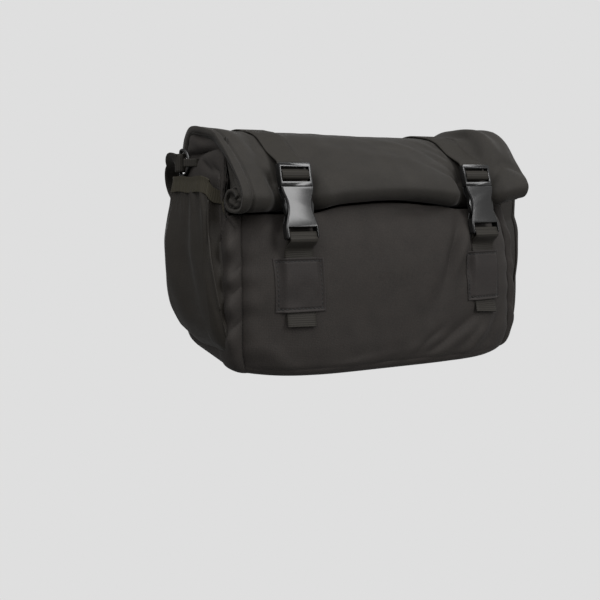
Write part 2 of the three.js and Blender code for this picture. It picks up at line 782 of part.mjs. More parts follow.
// The lower strap: its tail, up the panel, round the socket's bar and down again under the patch
function lowerStrapGeometry(side) {
  const x = side * strapPlace;
  const layer = (z, count) => {
    const stand = patchSeat + webbingThickness / 2 + count * (webbingThickness + seatGap);
    const out = frontOut(x, z);
    const across = new THREE.Vector3(-out.y, out.x, 0).normalize();
    return { place: frontAt(x, z).addScaledVector(out, stand), across };
  };
  const onBar = ([low, out]) => ({ place: buckleAt(side, low, out), across: sideways });
  const barDown = buckleLength - ladderBar / 2;
  const panelTop = patchTop + 6;
  const up = [tailDrop, -90, -72, panelTop].map((z) => layer(z, 0));
  up.push(onBar([barDown + 4, -wrapOut - 1.3]));
  const down = [onBar([barDown + 4, wrapOut + 0.5]), layer(panelTop, 1), layer(patchTop - 8, 1)];
  const wrap = [
    [barDown, -wrapOut - 0.3],
    [barDown - 2, -wrapOut - 0.3],
    [barDown - ladderBar / 2 - wrapClear - 0.6, -wrapOut + 0.9],
    [barDown - ladderBar / 2 - wrapClear - 0.6, wrapOut - 0.9],
    [barDown - 2, wrapOut + 0.3],
    [barDown, wrapOut + 0.3],
  ].map(onBar);
  return stripSolid([...up, ...wrap, ...down], webbingWidth, webbingThickness);
}

// The stitched patch lies on the panel and rises over the strap beneath it
function patchGeometry(side) {
  const half = patchSide / 2;
  const over = webbingWidth / 2 + seatGap;
  const columns = [-half, -over - 4, -over, -over / 2, 0, over / 2, over, over + 4, half];
  const rows = 5;
  const grid = (offset) => Array.from({ length: rows + 1 }, (_, row) => columns.map((beside) => {
    const x = side * strapPlace + beside;
    const z = patchTop - patchSide * row / rows;
    const layers = row < 2 ? 2 : 1;
    const cover = patchSeat + patchThickness / 2 + offset;
    if (Math.abs(beside) > over) {
      return frontAt(x, z).addScaledVector(frontOut(x, z), cover);
    }
    const middle = side * strapPlace;
    const out = frontOut(middle, z);
    const across = new THREE.Vector3(-out.y, out.x, 0).normalize();
    return frontAt(middle, z)
      .addScaledVector(across, beside)
      .addScaledVector(out, cover + layers * (webbingThickness + seatGap));
  }));
  return sheetSolid(grid(patchThickness / 2), grid(-patchThickness / 2));
}

// The ring stands beside the gusset at the upper back corner, its plane facing the side
function ringCentre(side) {
  const wall = Math.abs(bodyAtHeight(side, sideStart + 0.2, ringCentreHeight).x);
  const out = wall + ringStand + webbingThickness + ringWire / 2;
  return new THREE.Vector3(side * out, backFace - ringBack - ringWidth / 2, ringCentreHeight);
}

function ringOutline(inset) {
  const shape = new THREE.Shape();
  const back = inset;
  const front = ringWidth - inset;
  const half = ringHeight / 2 - inset;
  const round = Math.max(ringCorner - inset, ringWire / 2);
  shape.moveTo(back, -half + round);
  shape.lineTo(back, half - round);
  shape.quadraticCurveTo(back, half, back + round, half);
  shape.bezierCurveTo(front * 0.78, half, front, half / 2, front, 0);
  shape.bezierCurveTo(front, -half / 2, front * 0.78, -half, back + round, -half);
  shape.quadraticCurveTo(back, -half, back, -half + round);
  return shape;
}

function ringGeometry(side) {
  const disc = asManifold(plate(ringOutline(0), ringWire, ringWire * ringRound));
  const geometry = fromManifold(disc.subtract(asManifold(plate(ringOutline(ringWire), 2 * ringWire, 0))));
  geometry.rotateZ(-Math.PI / 2);
  const centre = ringCentre(side);
  geometry.translate(centre.x, centre.y + ringWidth / 2, centre.z);
  return geometry;
}

const ringWrap = ringWire * 0.75 + seatGap + webbingThickness / 2 + 0.35;

// The strap from the ring, over the bar, behind and under it, and down the bag's back
function barStrapGeometry(side) {
  const ring = ringCentre(side);
  const barY = ring.y + (ringWidth - ringWire) / 2;
  const around = barRadius + barClearance + webbingThickness / 2;
  const x = Math.abs(ring.x);
  const path = [];
  const add = (out, y, z, turn) => {
    const across = new THREE.Vector3(side * Math.sin(turn), 0, Math.cos(turn));
    path.push({ place: new THREE.Vector3(side * out, y, z), across });
  };
  add(x - ringWrap, barY + 4, ring.z, 0);
  for (let step = 0; step <= 6; step += 1) {
    const angle = Math.PI * step / 6;
    add(x - ringWrap * Math.cos(angle), barY - ringWrap * Math.sin(angle), ring.z, 0);
  }
  const twistSteps = 7;
  for (let step = 1; step <= twistSteps; step += 1) {
    const share = step / twistSteps;
    const y = THREE.MathUtils.lerp(barY, 0, share);
    const z = THREE.MathUtils.lerp(ring.z, around, share * share);
    const out = THREE.MathUtils.lerp(x + ringWrap, x - barStrapInset, share * share);
    add(out, y, z + barStrapRise * Math.sin(Math.PI * share), share * Math.PI / 2);
  }
  const wrapSteps = 12;
  for (let step = 1; step <= wrapSteps; step += 1) {
    const share = step / wrapSteps;
    const angle = Math.PI / 2 - share * Math.PI * 1.12;
    add(x - barStrapInset - barStrapLean * share, around * Math.cos(angle), around * Math.sin(angle), Math.PI / 2);
  }
  const back = backFace + seatGap + webbingThickness / 2;
  const low = x - barStrapInset - barStrapLean;
  add(low - 2, back + 3, -around - 4, Math.PI / 2);
  add(low - 3, back + 0.3, -around - 10, Math.PI / 2);
  add(low - 4, back + 0.3, barStrapEnd, Math.PI / 2);
  return stripSolid(path, barStrapWidth, webbingThickness);
}

// The small loop that sews the ring to the gusset, round the ring's front side
function ringLoopGeometry(side) {
  const ring = ringCentre(side);
  const frontY = ring.y - (ringWidth - ringWire) / 2 + seatGap / 2;
  const x = Math.abs(ring.x);
  const path = [];
  const add = (out, y) => path.push({ place: new THREE.Vector3(side * out, y, ring.z), across: upright });
  add(x - ringWrap, frontY - ringLoopLength);
  for (let step = 0; step <= 6; step += 1) {
    const angle = Math.PI * step / 6;
    add(x - ringWrap * Math.cos(angle), frontY + ringWrap * Math.sin(angle));
  }
  add(x - ringWrap + webbingThickness + seatGap + 0.4, frontY - ringLoopLength / 2);
  add(x - ringWrap + webbingThickness + seatGap, frontY - ringLoopLength);
  return stripSolid(path, ringLoopWidth, webbingThickness);
}

const material = (color, roughness, metalness) => new THREE.MeshStandardMaterial({ color, roughness, metalness });
const bag = new THREE.Group();

function addPiece(name, geometry, finish) {
  const mesh = new THREE.Mesh(geometry, finish);
  mesh.name = name;
  bag.add(mesh);
}

const cloth = () => material("#3a3633", 0.92, 0);
const webbing = () => material("#1c1b1a", 0.8, 0);

addPiece("bag_body", bodyGeometry(), cloth());
addPiece("roll_top", rollGeometry(), cloth());
for (const [hand, side] of [["left", -1], ["right", 1]]) {
  addPiece(`side_pocket_${hand}`, pocketGeometry(side), cloth());
  addPiece(`pocket_band_${hand}`, bandGeometry(side), material("#3b3a30", 0.9, 0));
  addPiece(`top_strap_${hand}`, topStrapGeometry(side), webbing());
  addPiece(`lower_strap_${hand}`, lowerStrapGeometry(side), webbing());
  addPiece(`strap_patch_${hand}`, patchGeometry(side), cloth());
  addPiece(`corner_ring_${hand}`, ringGeometry(side), material("#101010", 0.25, 0));
  addPiece(`ring_loop_${hand}`, ringLoopGeometry(side), webbing());
  addPiece(`bar_strap_${hand}`, barStrapGeometry(side), webbing());
  addPiece(`buckle_plug_${hand}`, plugGeometry(side), material("#141414", 0.35, 0));
  addPiece(`buckle_socket_${hand}`, socketGeometry(side), material("#141414", 0.3, 0));
}

export default bag;
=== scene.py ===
# %% [markdown]
# This lesson dresses a soft handlebar bag. The frame brings the measured solids: a sewn tub, a rolled
# top, pockets, webbing, buckles and rings. Each soft solid is replaced here by finer cloth that keeps
# its place and its size, and each hard piece gets the edges and the finish that a mould gives it.
# The work is in metres in the same frame: X runs along the bar, Y to the back and Z up.

import bmesh
import bpy
import numpy as np
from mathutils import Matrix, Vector


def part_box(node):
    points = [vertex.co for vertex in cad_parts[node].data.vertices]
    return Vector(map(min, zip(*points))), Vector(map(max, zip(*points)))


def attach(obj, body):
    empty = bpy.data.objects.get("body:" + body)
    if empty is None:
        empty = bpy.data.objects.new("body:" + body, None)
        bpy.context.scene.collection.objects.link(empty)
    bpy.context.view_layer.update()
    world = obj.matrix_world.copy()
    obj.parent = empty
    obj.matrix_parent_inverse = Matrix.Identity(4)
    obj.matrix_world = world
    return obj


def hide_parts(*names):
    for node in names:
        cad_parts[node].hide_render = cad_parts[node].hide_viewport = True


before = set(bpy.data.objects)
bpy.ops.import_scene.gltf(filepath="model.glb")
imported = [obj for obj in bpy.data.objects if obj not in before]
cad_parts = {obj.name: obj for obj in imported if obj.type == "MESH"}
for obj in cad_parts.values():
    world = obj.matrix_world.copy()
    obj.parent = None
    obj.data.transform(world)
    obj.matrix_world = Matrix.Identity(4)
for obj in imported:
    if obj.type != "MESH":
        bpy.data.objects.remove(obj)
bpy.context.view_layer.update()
MM = 0.001
print("CAD nodes:", len(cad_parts))

# %% [markdown]
# Cloth is drawn on curves, so the tables below list only a few rows, and one helper carries a smooth
# line through them. Straight lines between the rows would show as creases where the real cloth has
# none. The slopes are limited, so the line never swings past a row.

# %% A smooth line through a table


def curve(table, key, column, value):
    xs = np.array(table[key], float)
    ys = np.array(table[column], float)
    step = np.diff(xs)
    slope = np.diff(ys) / step
    tangent = np.zeros(len(xs))
    tangent[0], tangent[-1] = slope[0], slope[-1]
    product = slope[:-1] * slope[1:]
    total = slope[:-1] + slope[1:]
    safe = np.where(product > 0, total, 1.0)
    tangent[1:-1] = np.where(product > 0, 2 * product / safe, 0.0)
    place = np.clip(value, xs[0], xs[-1])
    index = np.clip(np.searchsorted(xs, place, side="right") - 1, 0, len(xs) - 2)
    width = step[index]
    t = (place - xs[index]) / width
    start = (2 * t**3 - 3 * t**2 + 1) * ys[index] + (t**3 - 2 * t**2 + t) * width * tangent[index]
    end = (3 * t**2 - 2 * t**3) * ys[index + 1] + (t**3 - t**2) * width * tangent[index + 1]
    return start + end


def smooth(value, low, high):
    t = np.clip((value - low) / (high - low), 0, 1)
    return t * t * (3 - 2 * t)


def bell(distance, width):
    return np.exp(-((distance / width) ** 2))


def mix(a, b, share):
    return a + (b - a) * share


def unit(vectors):
    return vectors / np.linalg.norm(vectors, axis=-1, keepdims=True)


# %% [markdown]
# Real cloth is never quite even. A small smooth noise, made from a seeded lattice of random heights,
# gives each panel its slight unevenness, and it is the same in every run.

# %% Seeded soft noise
LATTICE = 64
noise_lattice = np.random.default_rng(11).uniform(-1, 1, (LATTICE, LATTICE))


def soft_noise(u, v, size):
    a, b = np.asarray(u) / size, np.asarray(v) / size
    i, j = np.floor(a).astype(int), np.floor(b).astype(int)
    s, t = a - i, b - j
    s, t = s * s * (3 - 2 * s), t * t * (3 - 2 * t)
    pick = lambda di, dj: noise_lattice[(i + di) % LATTICE, (j + dj) % LATTICE]
    low = mix(pick(0, 0), pick(1, 0), s)
    high = mix(pick(0, 1), pick(1, 1), s)
    return mix(low, high, t)


# %% [markdown]
# The bag's sizes are those of the solids, in millimetres. The tub's plan is half an outline in five
# stretches: back, back corner, side, front corner and front, so a turn of 0 is the middle of the back
# and a turn of 5 the middle of the front. Level sections of it, from the floor up to the mouth, draw
# in at the floor and lean back towards the mouth.

# %% Sizes of the body and its level sections
CLOTH = 2.0
SEAT = 0.35
HALF_WIDTH = 146.0
DEPTH = 119.5
BOTTOM_DROP = 154.0
BOTTOM_SLOPE = 0.155
SEAM_HALF = 137.0
CROWN = 21.0
CROWN_POWER = 5.2
BACK_CORNER = 13.0
GUSSET_TURN = 13.0
BAR_RADIUS = 15.9
BAR_CLEAR = 0.6
WEBBING = 1.5
BACK_FACE = -(BAR_RADIUS + BAR_CLEAR + WEBBING + 2 * SEAT + CLOTH)
FRONT_CORNER, FRONT, TURNS = 3, 4, 5
HANDS = (("left", -1), ("right", 1))

body_sections = {
    "rise": [0.0, 0.015, 0.05, 0.11, 0.2, 0.38, 0.58, 0.78, 0.9, 1.0],
    "width": [0.87, 0.93, 0.97, 0.988, 1.0, 1.0, 1.0, 0.99, 0.975, 0.955],
    "back": [0.13, 0.08, 0.04, 0.02, 0.005, 0.0, 0.0, 0.0, 0.0, 0.0],
    "front": [0.89, 0.945, 0.975, 0.99, 1.0, 1.0, 0.995, 0.965, 0.925, 0.875],
}


def body_plan(rise, turn):
    share_of = lambda column: curve(body_sections, "rise", column, rise)
    width = HALF_WIDTH * share_of("width")
    back = BACK_FACE - DEPTH * share_of("back")
    front = BACK_FACE - DEPTH * share_of("front")
    seam = SEAM_HALF * share_of("width")
    seam_back = front + CROWN
    side_end = seam_back + GUSSET_TURN
    stretch = np.minimum(np.floor(turn), FRONT)
    share = turn - stretch
    rest = 1 - share
    angle = share * np.pi / 2
    flat = share * (width - BACK_CORNER)
    where = [stretch == 0, stretch == 1, stretch == 2, stretch == FRONT_CORNER]
    x = np.select(
        where,
        [
            flat,
            width - BACK_CORNER * (1 - np.sin(angle)),
            width + 0 * share,
            width * (rest**2 + 2 * rest * share) + seam * share**2,
        ],
        seam * rest,
    )
    y = np.select(
        where,
        [
            back + 0 * share,
            back - BACK_CORNER * (1 - np.cos(angle)),
            mix(back - BACK_CORNER, side_end, share),
            side_end * rest**2 + seam_back * (2 * rest * share + share**2),
        ],
        front + CROWN * rest**CROWN_POWER,
    )
    return x, y


# %% [markdown]
# The top is one sheet carried from the back rim over the top, down the front and turned under in a
# loose roll. Its path is a curve in the plane across the bag, and stations along the bag lift it,
# lower it and push it out, because a rolled cloth is never straight.

# %% Sizes of the rolled top
ROLL_HALF = 145.5
ROLL_SHIFT = 1.5
ROLL_DEPTH = DEPTH - 4.5
ROLL_THICK = 2.6
ROLL_TOP = 46.0
ROLL_LOW = -19.0
ROLL_LIFT = 12.0
STRAP_PLACE = 0.68 * SEAM_HALF
STRAP_WIDTH = 25.0
STRAP_DENT = 12.5
DENT_REACH = 16.0
ROLL_FREE = 0.12
STRAP_ROOM = STRAP_WIDTH / 2 + 1

roll_path = [
    (0.015, 0.75),
    (0.05, 0.9),
    (0.15, 1.0),
    (0.33, 0.98),
    (0.52, 0.92),
    (0.64, 0.8),
    (0.75, 0.665),
    (0.85, 0.51),
    (0.93, 0.37),
    (0.985, 0.24),
    (1.0, 0.14),
    (0.96, 0.03),
    (0.86, 0.0),
    (0.77, 0.03),
    (0.735, 0.13),
    (0.78, 0.225),
    (0.86, 0.225),
    (0.91, 0.165),
]

roll_stations = {
    "along": [-1.0, -0.88, -0.76, -0.55, -0.35, 0.0, 0.3, 0.52, 0.74, 0.88, 1.0],
    "low": [-0.15, -0.15, -0.12, -0.12, 0.35, 0.6, 0.4, 0.05, 0.05, 0.4, 0.65],
    "top": [0.17, 0.1, -0.12, -0.12, -0.1, -0.18, -0.2, -0.25, -0.2, 0.45, 0.25],
    "push": [0.0, 0.05, 0.0, 0.0, 0.2, 0.3, 0.2, 0.0, 0.0, 0.1, 0.0],
    "shoulder": [0.0, 0.0, 0.0, 0.0, 0.0, 0.0, 0.0, 0.0, 0.0, 0.85, 0.8],
}


CURVE_STEPS = 40


def spaced_path(rows, count):
    """Evenly spaced points on a curve through the rows."""
    knots = np.array(rows, float)
    padded = np.vstack([2 * knots[0] - knots[1], knots, 2 * knots[-1] - knots[-2]])
    fine = []
    for index in range(len(knots) - 1):
        p0, p1, p2, p3 = padded[index : index + 4]
        for t in np.linspace(0, 1, CURVE_STEPS, endpoint=False):
            cubic = 2 * p1 + (p2 - p0) * t + (2 * p0 - 5 * p1 + 4 * p2 - p3) * t**2
            fine.append((cubic + (3 * p1 - p0 - 3 * p2 + p3) * t**3) / 2)
    fine = np.array([*fine, knots[-1]])
    length = np.concatenate([[0], np.cumsum(np.linalg.norm(np.diff(fine, axis=0), axis=1))])
    even = np.linspace(0, length[-1], count)
    return np.stack([np.interp(even, length, fine[:, axis]) for axis in range(fine.shape[1])], axis=1)


ROLL_SAMPLES = 170
FOLD_LEVEL = 0.3
roll_shares = spaced_path(roll_path, ROLL_SAMPLES)


def roll_at(x, forward, lift):
    """The roll's depth and height at a place along the bag, from its shares forward and up."""
    along = (x - ROLL_SHIFT) / ROLL_HALF
    station = lambda column: curve(roll_stations, "along", column, along)
    beside = np.abs(np.abs(x) - STRAP_PLACE) - STRAP_ROOM
    held = 1 - smooth(beside, 0, DENT_REACH)
    front = smooth(forward, 0.3, 0.7)
    low_front = front * mix(0.2, 1, 1 - smooth(lift, 0.28, 0.62))
    dent = STRAP_DENT * held * low_front
    y = BACK_FACE - ROLL_DEPTH * forward + dent - ROLL_LIFT * station("push") * front
    level = mix(ROLL_LOW, ROLL_TOP, lift)
    free = smooth(forward, roll_shares[0, 0], ROLL_FREE)
    shoulder = station("shoulder") * bell(forward - 0.66, 0.2) * smooth(lift, 0.3, 0.7)
    z = level + ROLL_LIFT * free * (mix(station("low"), station("top"), lift) + shoulder)
    return y, z


def roll_line(x, shares, stand):
    """The roll's line at one place along the bag, set off outwards from its sheet."""
    y, z = roll_at(np.full(len(shares), x), shares[:, 0], shares[:, 1])
    slope = unit(np.stack([np.gradient(y), np.gradient(z)], axis=1))
    return y + slope[:, 1] * stand, z - slope[:, 0] * stand


# %% [markdown]
# The tub's rim runs just under the rolled sheet. At the ends it rises in a gable, and at the front it
# drops behind the roll. The height is read from the roll itself, so the two always fit.

# %% The rim under the roll
RIM_GAP = 1.2
GABLE_END = 0.64
GABLE_FOOT = 0.68
rim_places = np.arange(-ROLL_HALF + ROLL_SHIFT, ROLL_HALF + ROLL_SHIFT + 0.5, 1.0)
top_count = int(np.argmax(roll_shares[:, 1] < FOLD_LEVEL))
rim_depths = np.arange(-BACK_FACE, -BACK_FACE + DEPTH + 10, 0.5)
rim_table = []
for place in rim_places:
    line_y, line_z = roll_at(np.full(top_count, place), *roll_shares[:top_count].T)
    rim_table.append(np.interp(rim_depths, -line_y, line_z))
rim_table = np.array(rim_table)


def rim_height(x, y):
    row = np.clip((x - rim_places[0]) / (rim_places[1] - rim_places[0]), 0, len(rim_places) - 1.001)
    column = np.clip((-y - rim_depths[0]) / (rim_depths[1] - rim_depths[0]), 0, len(rim_depths) - 1.001)
    i, j = row.astype(int), column.astype(int)
    near = mix(rim_table[i, j], rim_table[i, j + 1], column - j)
    far = mix(rim_table[i + 1, j], rim_table[i + 1, j + 1], column - j)
    height = mix(near, far, row - i) - ROLL_THICK / 2 - RIM_GAP
    along = (np.clip(x, rim_places[0], rim_places[-1]) - ROLL_SHIFT) / ROLL_HALF
    low = ROLL_LOW + ROLL_LIFT * curve(roll_stations, "along", "low", along) - ROLL_THICK - RIM_GAP
    drop = smooth((BACK_FACE - y) / DEPTH, GABLE_END, GABLE_FOOT)
    return mix(np.maximum(height, low), low, drop)


# %% [markdown]
# Folds are what make a bag read as cloth. Each row below is one drag fold of the front panel, with
# its place, lean, length and depth. The chamfered strip of the gusset, between the pocket's pleat and
# the front seam, swells in puffs between the places where the seam's stitching draws it in, and less
# at the right end. Near its top a narrow lap of cloth crosses it. A last table holds the creases of
# the gusset under the roll.

# %% Folds of the body
front_folds = [
    # across, tall, lean, reach, spread, deep
    (-0.97, -0.62, 4, 46, 7, -2.0),
    (-0.76, -0.26, 24, 22, 6, 3.2),
    (-0.84, -0.20, 28, 20, 6, -2.2),
    (0.51, -0.35, 26, 21, 4.2, -5.4),
    (0.43, -0.39, 22, 26, 5.0, 4.6),
    (0.57, -0.44, 30, 18, 4, 2.2),
    (0.30, -0.62, 40, 30, 9, 1.6),
    (0.42, -0.84, 58, 34, 6, 3.0),
    (0.34, -0.91, 62, 40, 5, -3.0),
    (0.62, -0.87, 48, 26, 5, -2.8),
    (0.78, -0.80, 30, 24, 6, 1.8),
    (-0.05, -0.94, 72, 26, 4, 2.0),
    (-0.35, -0.95, 80, 26, 4, -1.8),
    (0.10, -0.90, 76, 30, 4.5, -2.2),
    (0.22, -0.86, 56, 18, 3.5, 2.0),
    (-0.80, -0.90, -50, 28, 7, -2.0),
    (-0.62, -0.52, 12, 40, 9, 1.2),
    (0.05, -0.16, 84, 44, 6, 1.2),
    (0.30, -0.14, 80, 18, 5, 3.0),
    (0.12, -0.15, -84, 14, 4, 2.0),
]
panel_puffs = [
    # middle height, height, swell
    (-20, 10, 2.6),
    (-49, 11, 5.6),
    (-74, 8, 5.0),
    (-96, 11, 5.4),
    (-121, 11, 4.6),
]
seam_puckers = [-33, -64, -79, -106]
PUCKER_DEPTH = 1.4
PUCKER_REACH = 3.0
PUCKER_LEAN = 20
PUFF_LEAN = 6
LAP_HEIGHT = -8
LAP_LEAN = 30
LAP_WIDTH = 5.12
LAP_OUT = 3.4
STRIP_MIDDLE = 3.58
STRIP_SPREAD = 0.32
RIGHT_SWELL = 0.35
gusset_creases = [
    # height, forward, lean, reach, thick, deep
    (27.0, 36, 4, 34, 2.6, 5.0),
    (21.5, 24, 10, 13, 3.2, 4.0),
    (15.0, 52, -24, 14, 3.0, 2.4),
    (36.0, 30, -18, 20, 4.5, -2.2),
    (10.0, 72, -30, 12, 3.0, 2.6),
]


def folds_depth(folds, across, along):
    """How far the folds move the cloth at a place; a row's first two values are its middle."""
    depth = 0
    for middle, level, lean, reach, spread, deep in folds:
        beside, up = across - middle, along - level
        angle = np.radians(lean)
        far = beside * np.sin(angle) + up * np.cos(angle)
        near = beside * np.cos(angle) - up * np.sin(angle)
        depth = depth + deep * bell(far, reach) * bell(near, spread)
    return depth


front_rows = [(across * SEAM_HALF, tall * BOTTOM_DROP, *fold) for across, tall, *fold in front_folds]


def panel_swell(turn, z):
    """How far the gusset's front strip stands out between the pleat and the front seam."""
    across = bell(turn - STRIP_MIDDLE, STRIP_SPREAD)
    pull = (3.98 - turn) * PUCKER_LEAN
    pinch = sum(bell(z - place + pull, PUCKER_REACH) for place in seam_puckers)
    pinch = pinch * smooth(turn, 3.3, 3.75) * (1 - smooth(turn, 3.95, 4.0))
    puffs = 0
    for middle, tall, swell in panel_puffs:
        puffs = puffs + swell * bell(z - middle - PUFF_LEAN * (turn - 3.6), tall * 0.75)
    lap = LAP_OUT * bell(z - LAP_HEIGHT + LAP_LEAN * (turn - 3.1), LAP_WIDTH)
    lap = lap * smooth(turn, 2.9, 3.1) * (1 - smooth(turn, 3.85, 3.98))
    return across * (0.6 + puffs) + lap - PUCKER_DEPTH * pinch


# %% [markdown]
# One function gives every point of the tub's outer face, so the pockets, the straps and the patches
# can all be laid on it. The seams are narrow grooves, because thread pulls the cloth in along them.

# %% The body's outer face
BODY_HALVINGS = 14
SEAM_DEPTH = 2.6
LOW_SEAM_DEPTH = 0.9
LOW_SEAM_RISE = 7
RUFFLE = 0.5
UNEVENNESS = 0.35


def body_point(side, turn, rise, dressed=True):
    """The outer face at a turn round the plan and a share of the way up, with or without folds."""
    plan_x, plan_y = body_plan(rise, turn)
    floor = -BOTTOM_DROP + BOTTOM_SLOPE * (plan_y - BACK_FACE + DEPTH)
    z = mix(floor, rim_height(side * plan_x, plan_y), rise)
    if not dressed:
        return np.stack([side * plan_x, plan_y, z], axis=-1)
    on_front = smooth(turn, FRONT, FRONT + 0.05)
    on_gusset = smooth(turn, 1.6, 2.1) * (1 - smooth(turn, 3.2, 3.5))
    seam = bell(turn - FRONT, 0.035) * smooth(rise, 0.02, 0.1)
    low_seam = bell(z - floor - LOW_SEAM_RISE, 1.6) * on_front
    own_swell = np.where(np.asarray(side) > 0, RIGHT_SWELL, 1.0)
    swell = panel_swell(turn, z) * smooth(rise, 0.03, 0.12) * own_swell
    ruffle = RUFFLE * bell(turn - FRONT - 0.03, 0.05) * np.sin(z / 3.1)
    ruffle = ruffle + UNEVENNESS * soft_noise(plan_x, z, 22)
    out = swell - SEAM_DEPTH * seam - LOW_SEAM_DEPTH * low_seam + ruffle * smooth(rise, 0.02, 0.1)
    crease = folds_depth(gusset_creases, z, BACK_FACE - plan_y) * on_gusset * smooth(z, 5, 12)
    x = side * (plan_x + (out * 0.62 * (1 - on_front)) - crease)
    fold = folds_depth(front_rows, side * plan_x, z) * on_front * smooth(rise, 0.0, 0.08)
    y = plan_y - out * (0.6 + 0.4 * on_front) * smooth(turn, 3.0, 3.5) + fold
    return np.stack([x, y, z], axis=-1)


def rise_where(height_at, z, halvings):
    """The rise at which the face reaches a height, found by halving."""
    low, high = np.zeros(z.shape), np.ones(z.shape)
    for _ in range(halvings):
        rise = (low + high) / 2
        below = height_at(rise) < z
        low = np.where(below, rise, low)
        high = np.where(below, high, rise)
    return (low + high) / 2


def body_at(side, turn, z):
    """The plain outer face, without its folds, at given heights."""
    turn, z = np.broadcast_arrays(np.asarray(turn, float), np.asarray(z, float))
    face = lambda rise: body_point(side, turn, rise, False)
    return face(rise_where(lambda rise: face(rise)[..., 2], z, BODY_HALVINGS))


# %% [markdown]
# A sheet of cloth is a grid of points. The helpers below make the mesh, give it a UV map whose units
# are real metres along the cloth, so that a weave keeps its size, and shade it smoothly. The others
# thicken a sheet, round its edges, clean a shell and hand a finished piece to the frame.

# %% Meshes from grids of points


def lengths(grid, axis):
    step = np.linalg.norm(np.diff(grid, axis=axis), axis=2)
    zero = np.zeros_like(np.take(step, [0], axis=axis))
    run = np.cumsum(np.concatenate([zero, step], axis=axis), axis=axis)
    return run - run.mean(axis=axis, keepdims=True)


def linked(name, data):
    """A new object, linked to the scene."""
    thing = bpy.data.objects.new(name, data)
    bpy.context.collection.objects.link(thing)
    return thing


def cloth_mesh(name, points, faces, corners):
    """A piece from points in millimetres, with the place of each face's corner along the cloth."""
    mesh = bpy.data.meshes.new(name)
    mesh.from_pydata((points.reshape(-1, 3) * MM).tolist(), [], faces)
    mesh.uv_layers.new(name="weave").data.foreach_set("uv", [value for pair in corners for value in pair])
    mesh.polygons.foreach_set("use_smooth", [True] * len(faces))
    return linked(name, mesh)


def cloth_grid(name, grid, around=False, flip=False):
    """A piece from rows of points; around joins the last column to the first."""
    rows, columns = grid.shape[:2]
    u = lengths(grid, 1) * MM
    v = lengths(grid, 0) * MM
    faces, corners = [], []
    for row in range(rows - 1):
        for column in range(columns if around else columns - 1):
            after = (column + 1) % columns
            quad = [(row, column), (row, after), (row + 1, after), (row + 1, column)]
            quad = quad[::-1] if flip else quad
            faces.append([r * columns + c for r, c in quad])
            for r, c in quad:
                joined = after == 0 and c == 0
                corners.append((u[r, -1] + MM if joined else u[r, c], v[r, c]))
    across, down = np.ptp(u, axis=1).mean(), np.ptp(v, axis=0).mean()
    print(f"{name}: {across:.3f} by {down:.3f} m along the cloth")
    return cloth_mesh(name, grid, faces, corners)


def rounded(piece, width, segments, angle):
    """A narrow bevel on every edge that is sharper than the angle."""
    edge = piece.modifiers.new("edge", "BEVEL")
    edge.width = width * MM
    edge.segments = segments
    edge.limit_method = "ANGLE"
    edge.angle_limit = np.radians(angle)
    return edge


def thicken(piece, thickness, bevel=0.0):
    """Solidify gives the cloth its wall, and a small bevel rounds the cut edges."""
    wall = piece.modifiers.new("wall", "SOLIDIFY")
    wall.thickness = thickness * MM
    wall.offset = -1.0
    wall.use_even_offset = False
    if bevel:
        rounded(piece, bevel, 2, 50)
    return wall


def welded(mesh, distance, flat=0.0):
    """Merges double points, joins faces flatter than an angle and turns all faces outwards."""
    shell = bmesh.new()
    shell.from_mesh(mesh)
    bmesh.ops.remove_doubles(shell, verts=shell.verts, dist=distance)
    if flat:
        bmesh.ops.dissolve_limit(shell, angle_limit=np.radians(flat), verts=shell.verts, edges=shell.edges)
    bmesh.ops.recalc_face_normals(shell, faces=shell.faces)
    shell.to_mesh(mesh)
    shell.free()


def bake(piece):
    """Applies the piece's modifiers, so that it is one plain mesh."""
    graph = bpy.context.evaluated_depsgraph_get()
    mesh = bpy.data.meshes.new_from_object(piece.evaluated_get(graph), depsgraph=graph)
    piece.modifiers.clear()
    piece.data = mesh


def finish_piece(piece, material, slot, *nodes):
    piece.data.materials.clear()
    piece.data.materials.append(material)
    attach(piece, "root")
    if nodes:
        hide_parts(*nodes)
    print(piece.name, "faces:", len(piece.data.polygons))


# %% [markdown]
# Colours are written as the sRGB values that a maker would pick, and one function turns them to the
# linear values that Blender's shaders use. A second one adds a node with its settings and links, and
# the last four make what several finishes share. A wave texture repeats every 0.314 units at scale
# one, and that turns a spacing into its scale.

# %% Colours and shader nodes
WAVE_PERIOD = 0.314


def linear(text):
    value = [int(text[i : i + 2], 16) / 255 for i in (1, 3, 5)]
    return (*[c / 12.92 if c <= 0.04045 else ((c + 0.055) / 1.055) ** 2.4 for c in value], 1.0)


def add_node(tree, kind, links=None, **settings):
    """Adds a node; settings name its properties or sockets, links name its input sockets."""
    node = tree.nodes.new(kind)
    for name, value in settings.items():
        if name in node.inputs:
            node.inputs[name].default_value = value
        else:
            setattr(node, name, value)
    for name, source in (links or {}).items():
        tree.links.new(source, node.inputs[name])
    return node


def new_material(name):
    material = bpy.data.materials.new(name)
    material.use_nodes = True
    material.node_tree.nodes.clear()
    return material, material.node_tree


def finish_material(tree, **sockets):
    surface = tree.nodes.new("ShaderNodeBsdfPrincipled")
    for name, value in sockets.items():
        socket = surface.inputs[name.replace("_", " ")]
        if isinstance(value, bpy.types.NodeSocket):
            tree.links.new(value, socket)
        else:
            socket.default_value = value
    add_node(tree, "ShaderNodeOutputMaterial", {"Surface": surface.outputs["BSDF"]})


def two_tone(tree, share, dark, light, low=0.0, high=1.0):
    """A colour ramp from the dark colour to the light one."""
    ramp = add_node(tree, "ShaderNodeValToRGB", {"Fac": share})
    stops = ramp.color_ramp.elements
    stops[0].position, stops[1].position = low, high
    stops[0].color, stops[1].color = linear(dark), linear(light)
    return ramp.outputs["Color"]


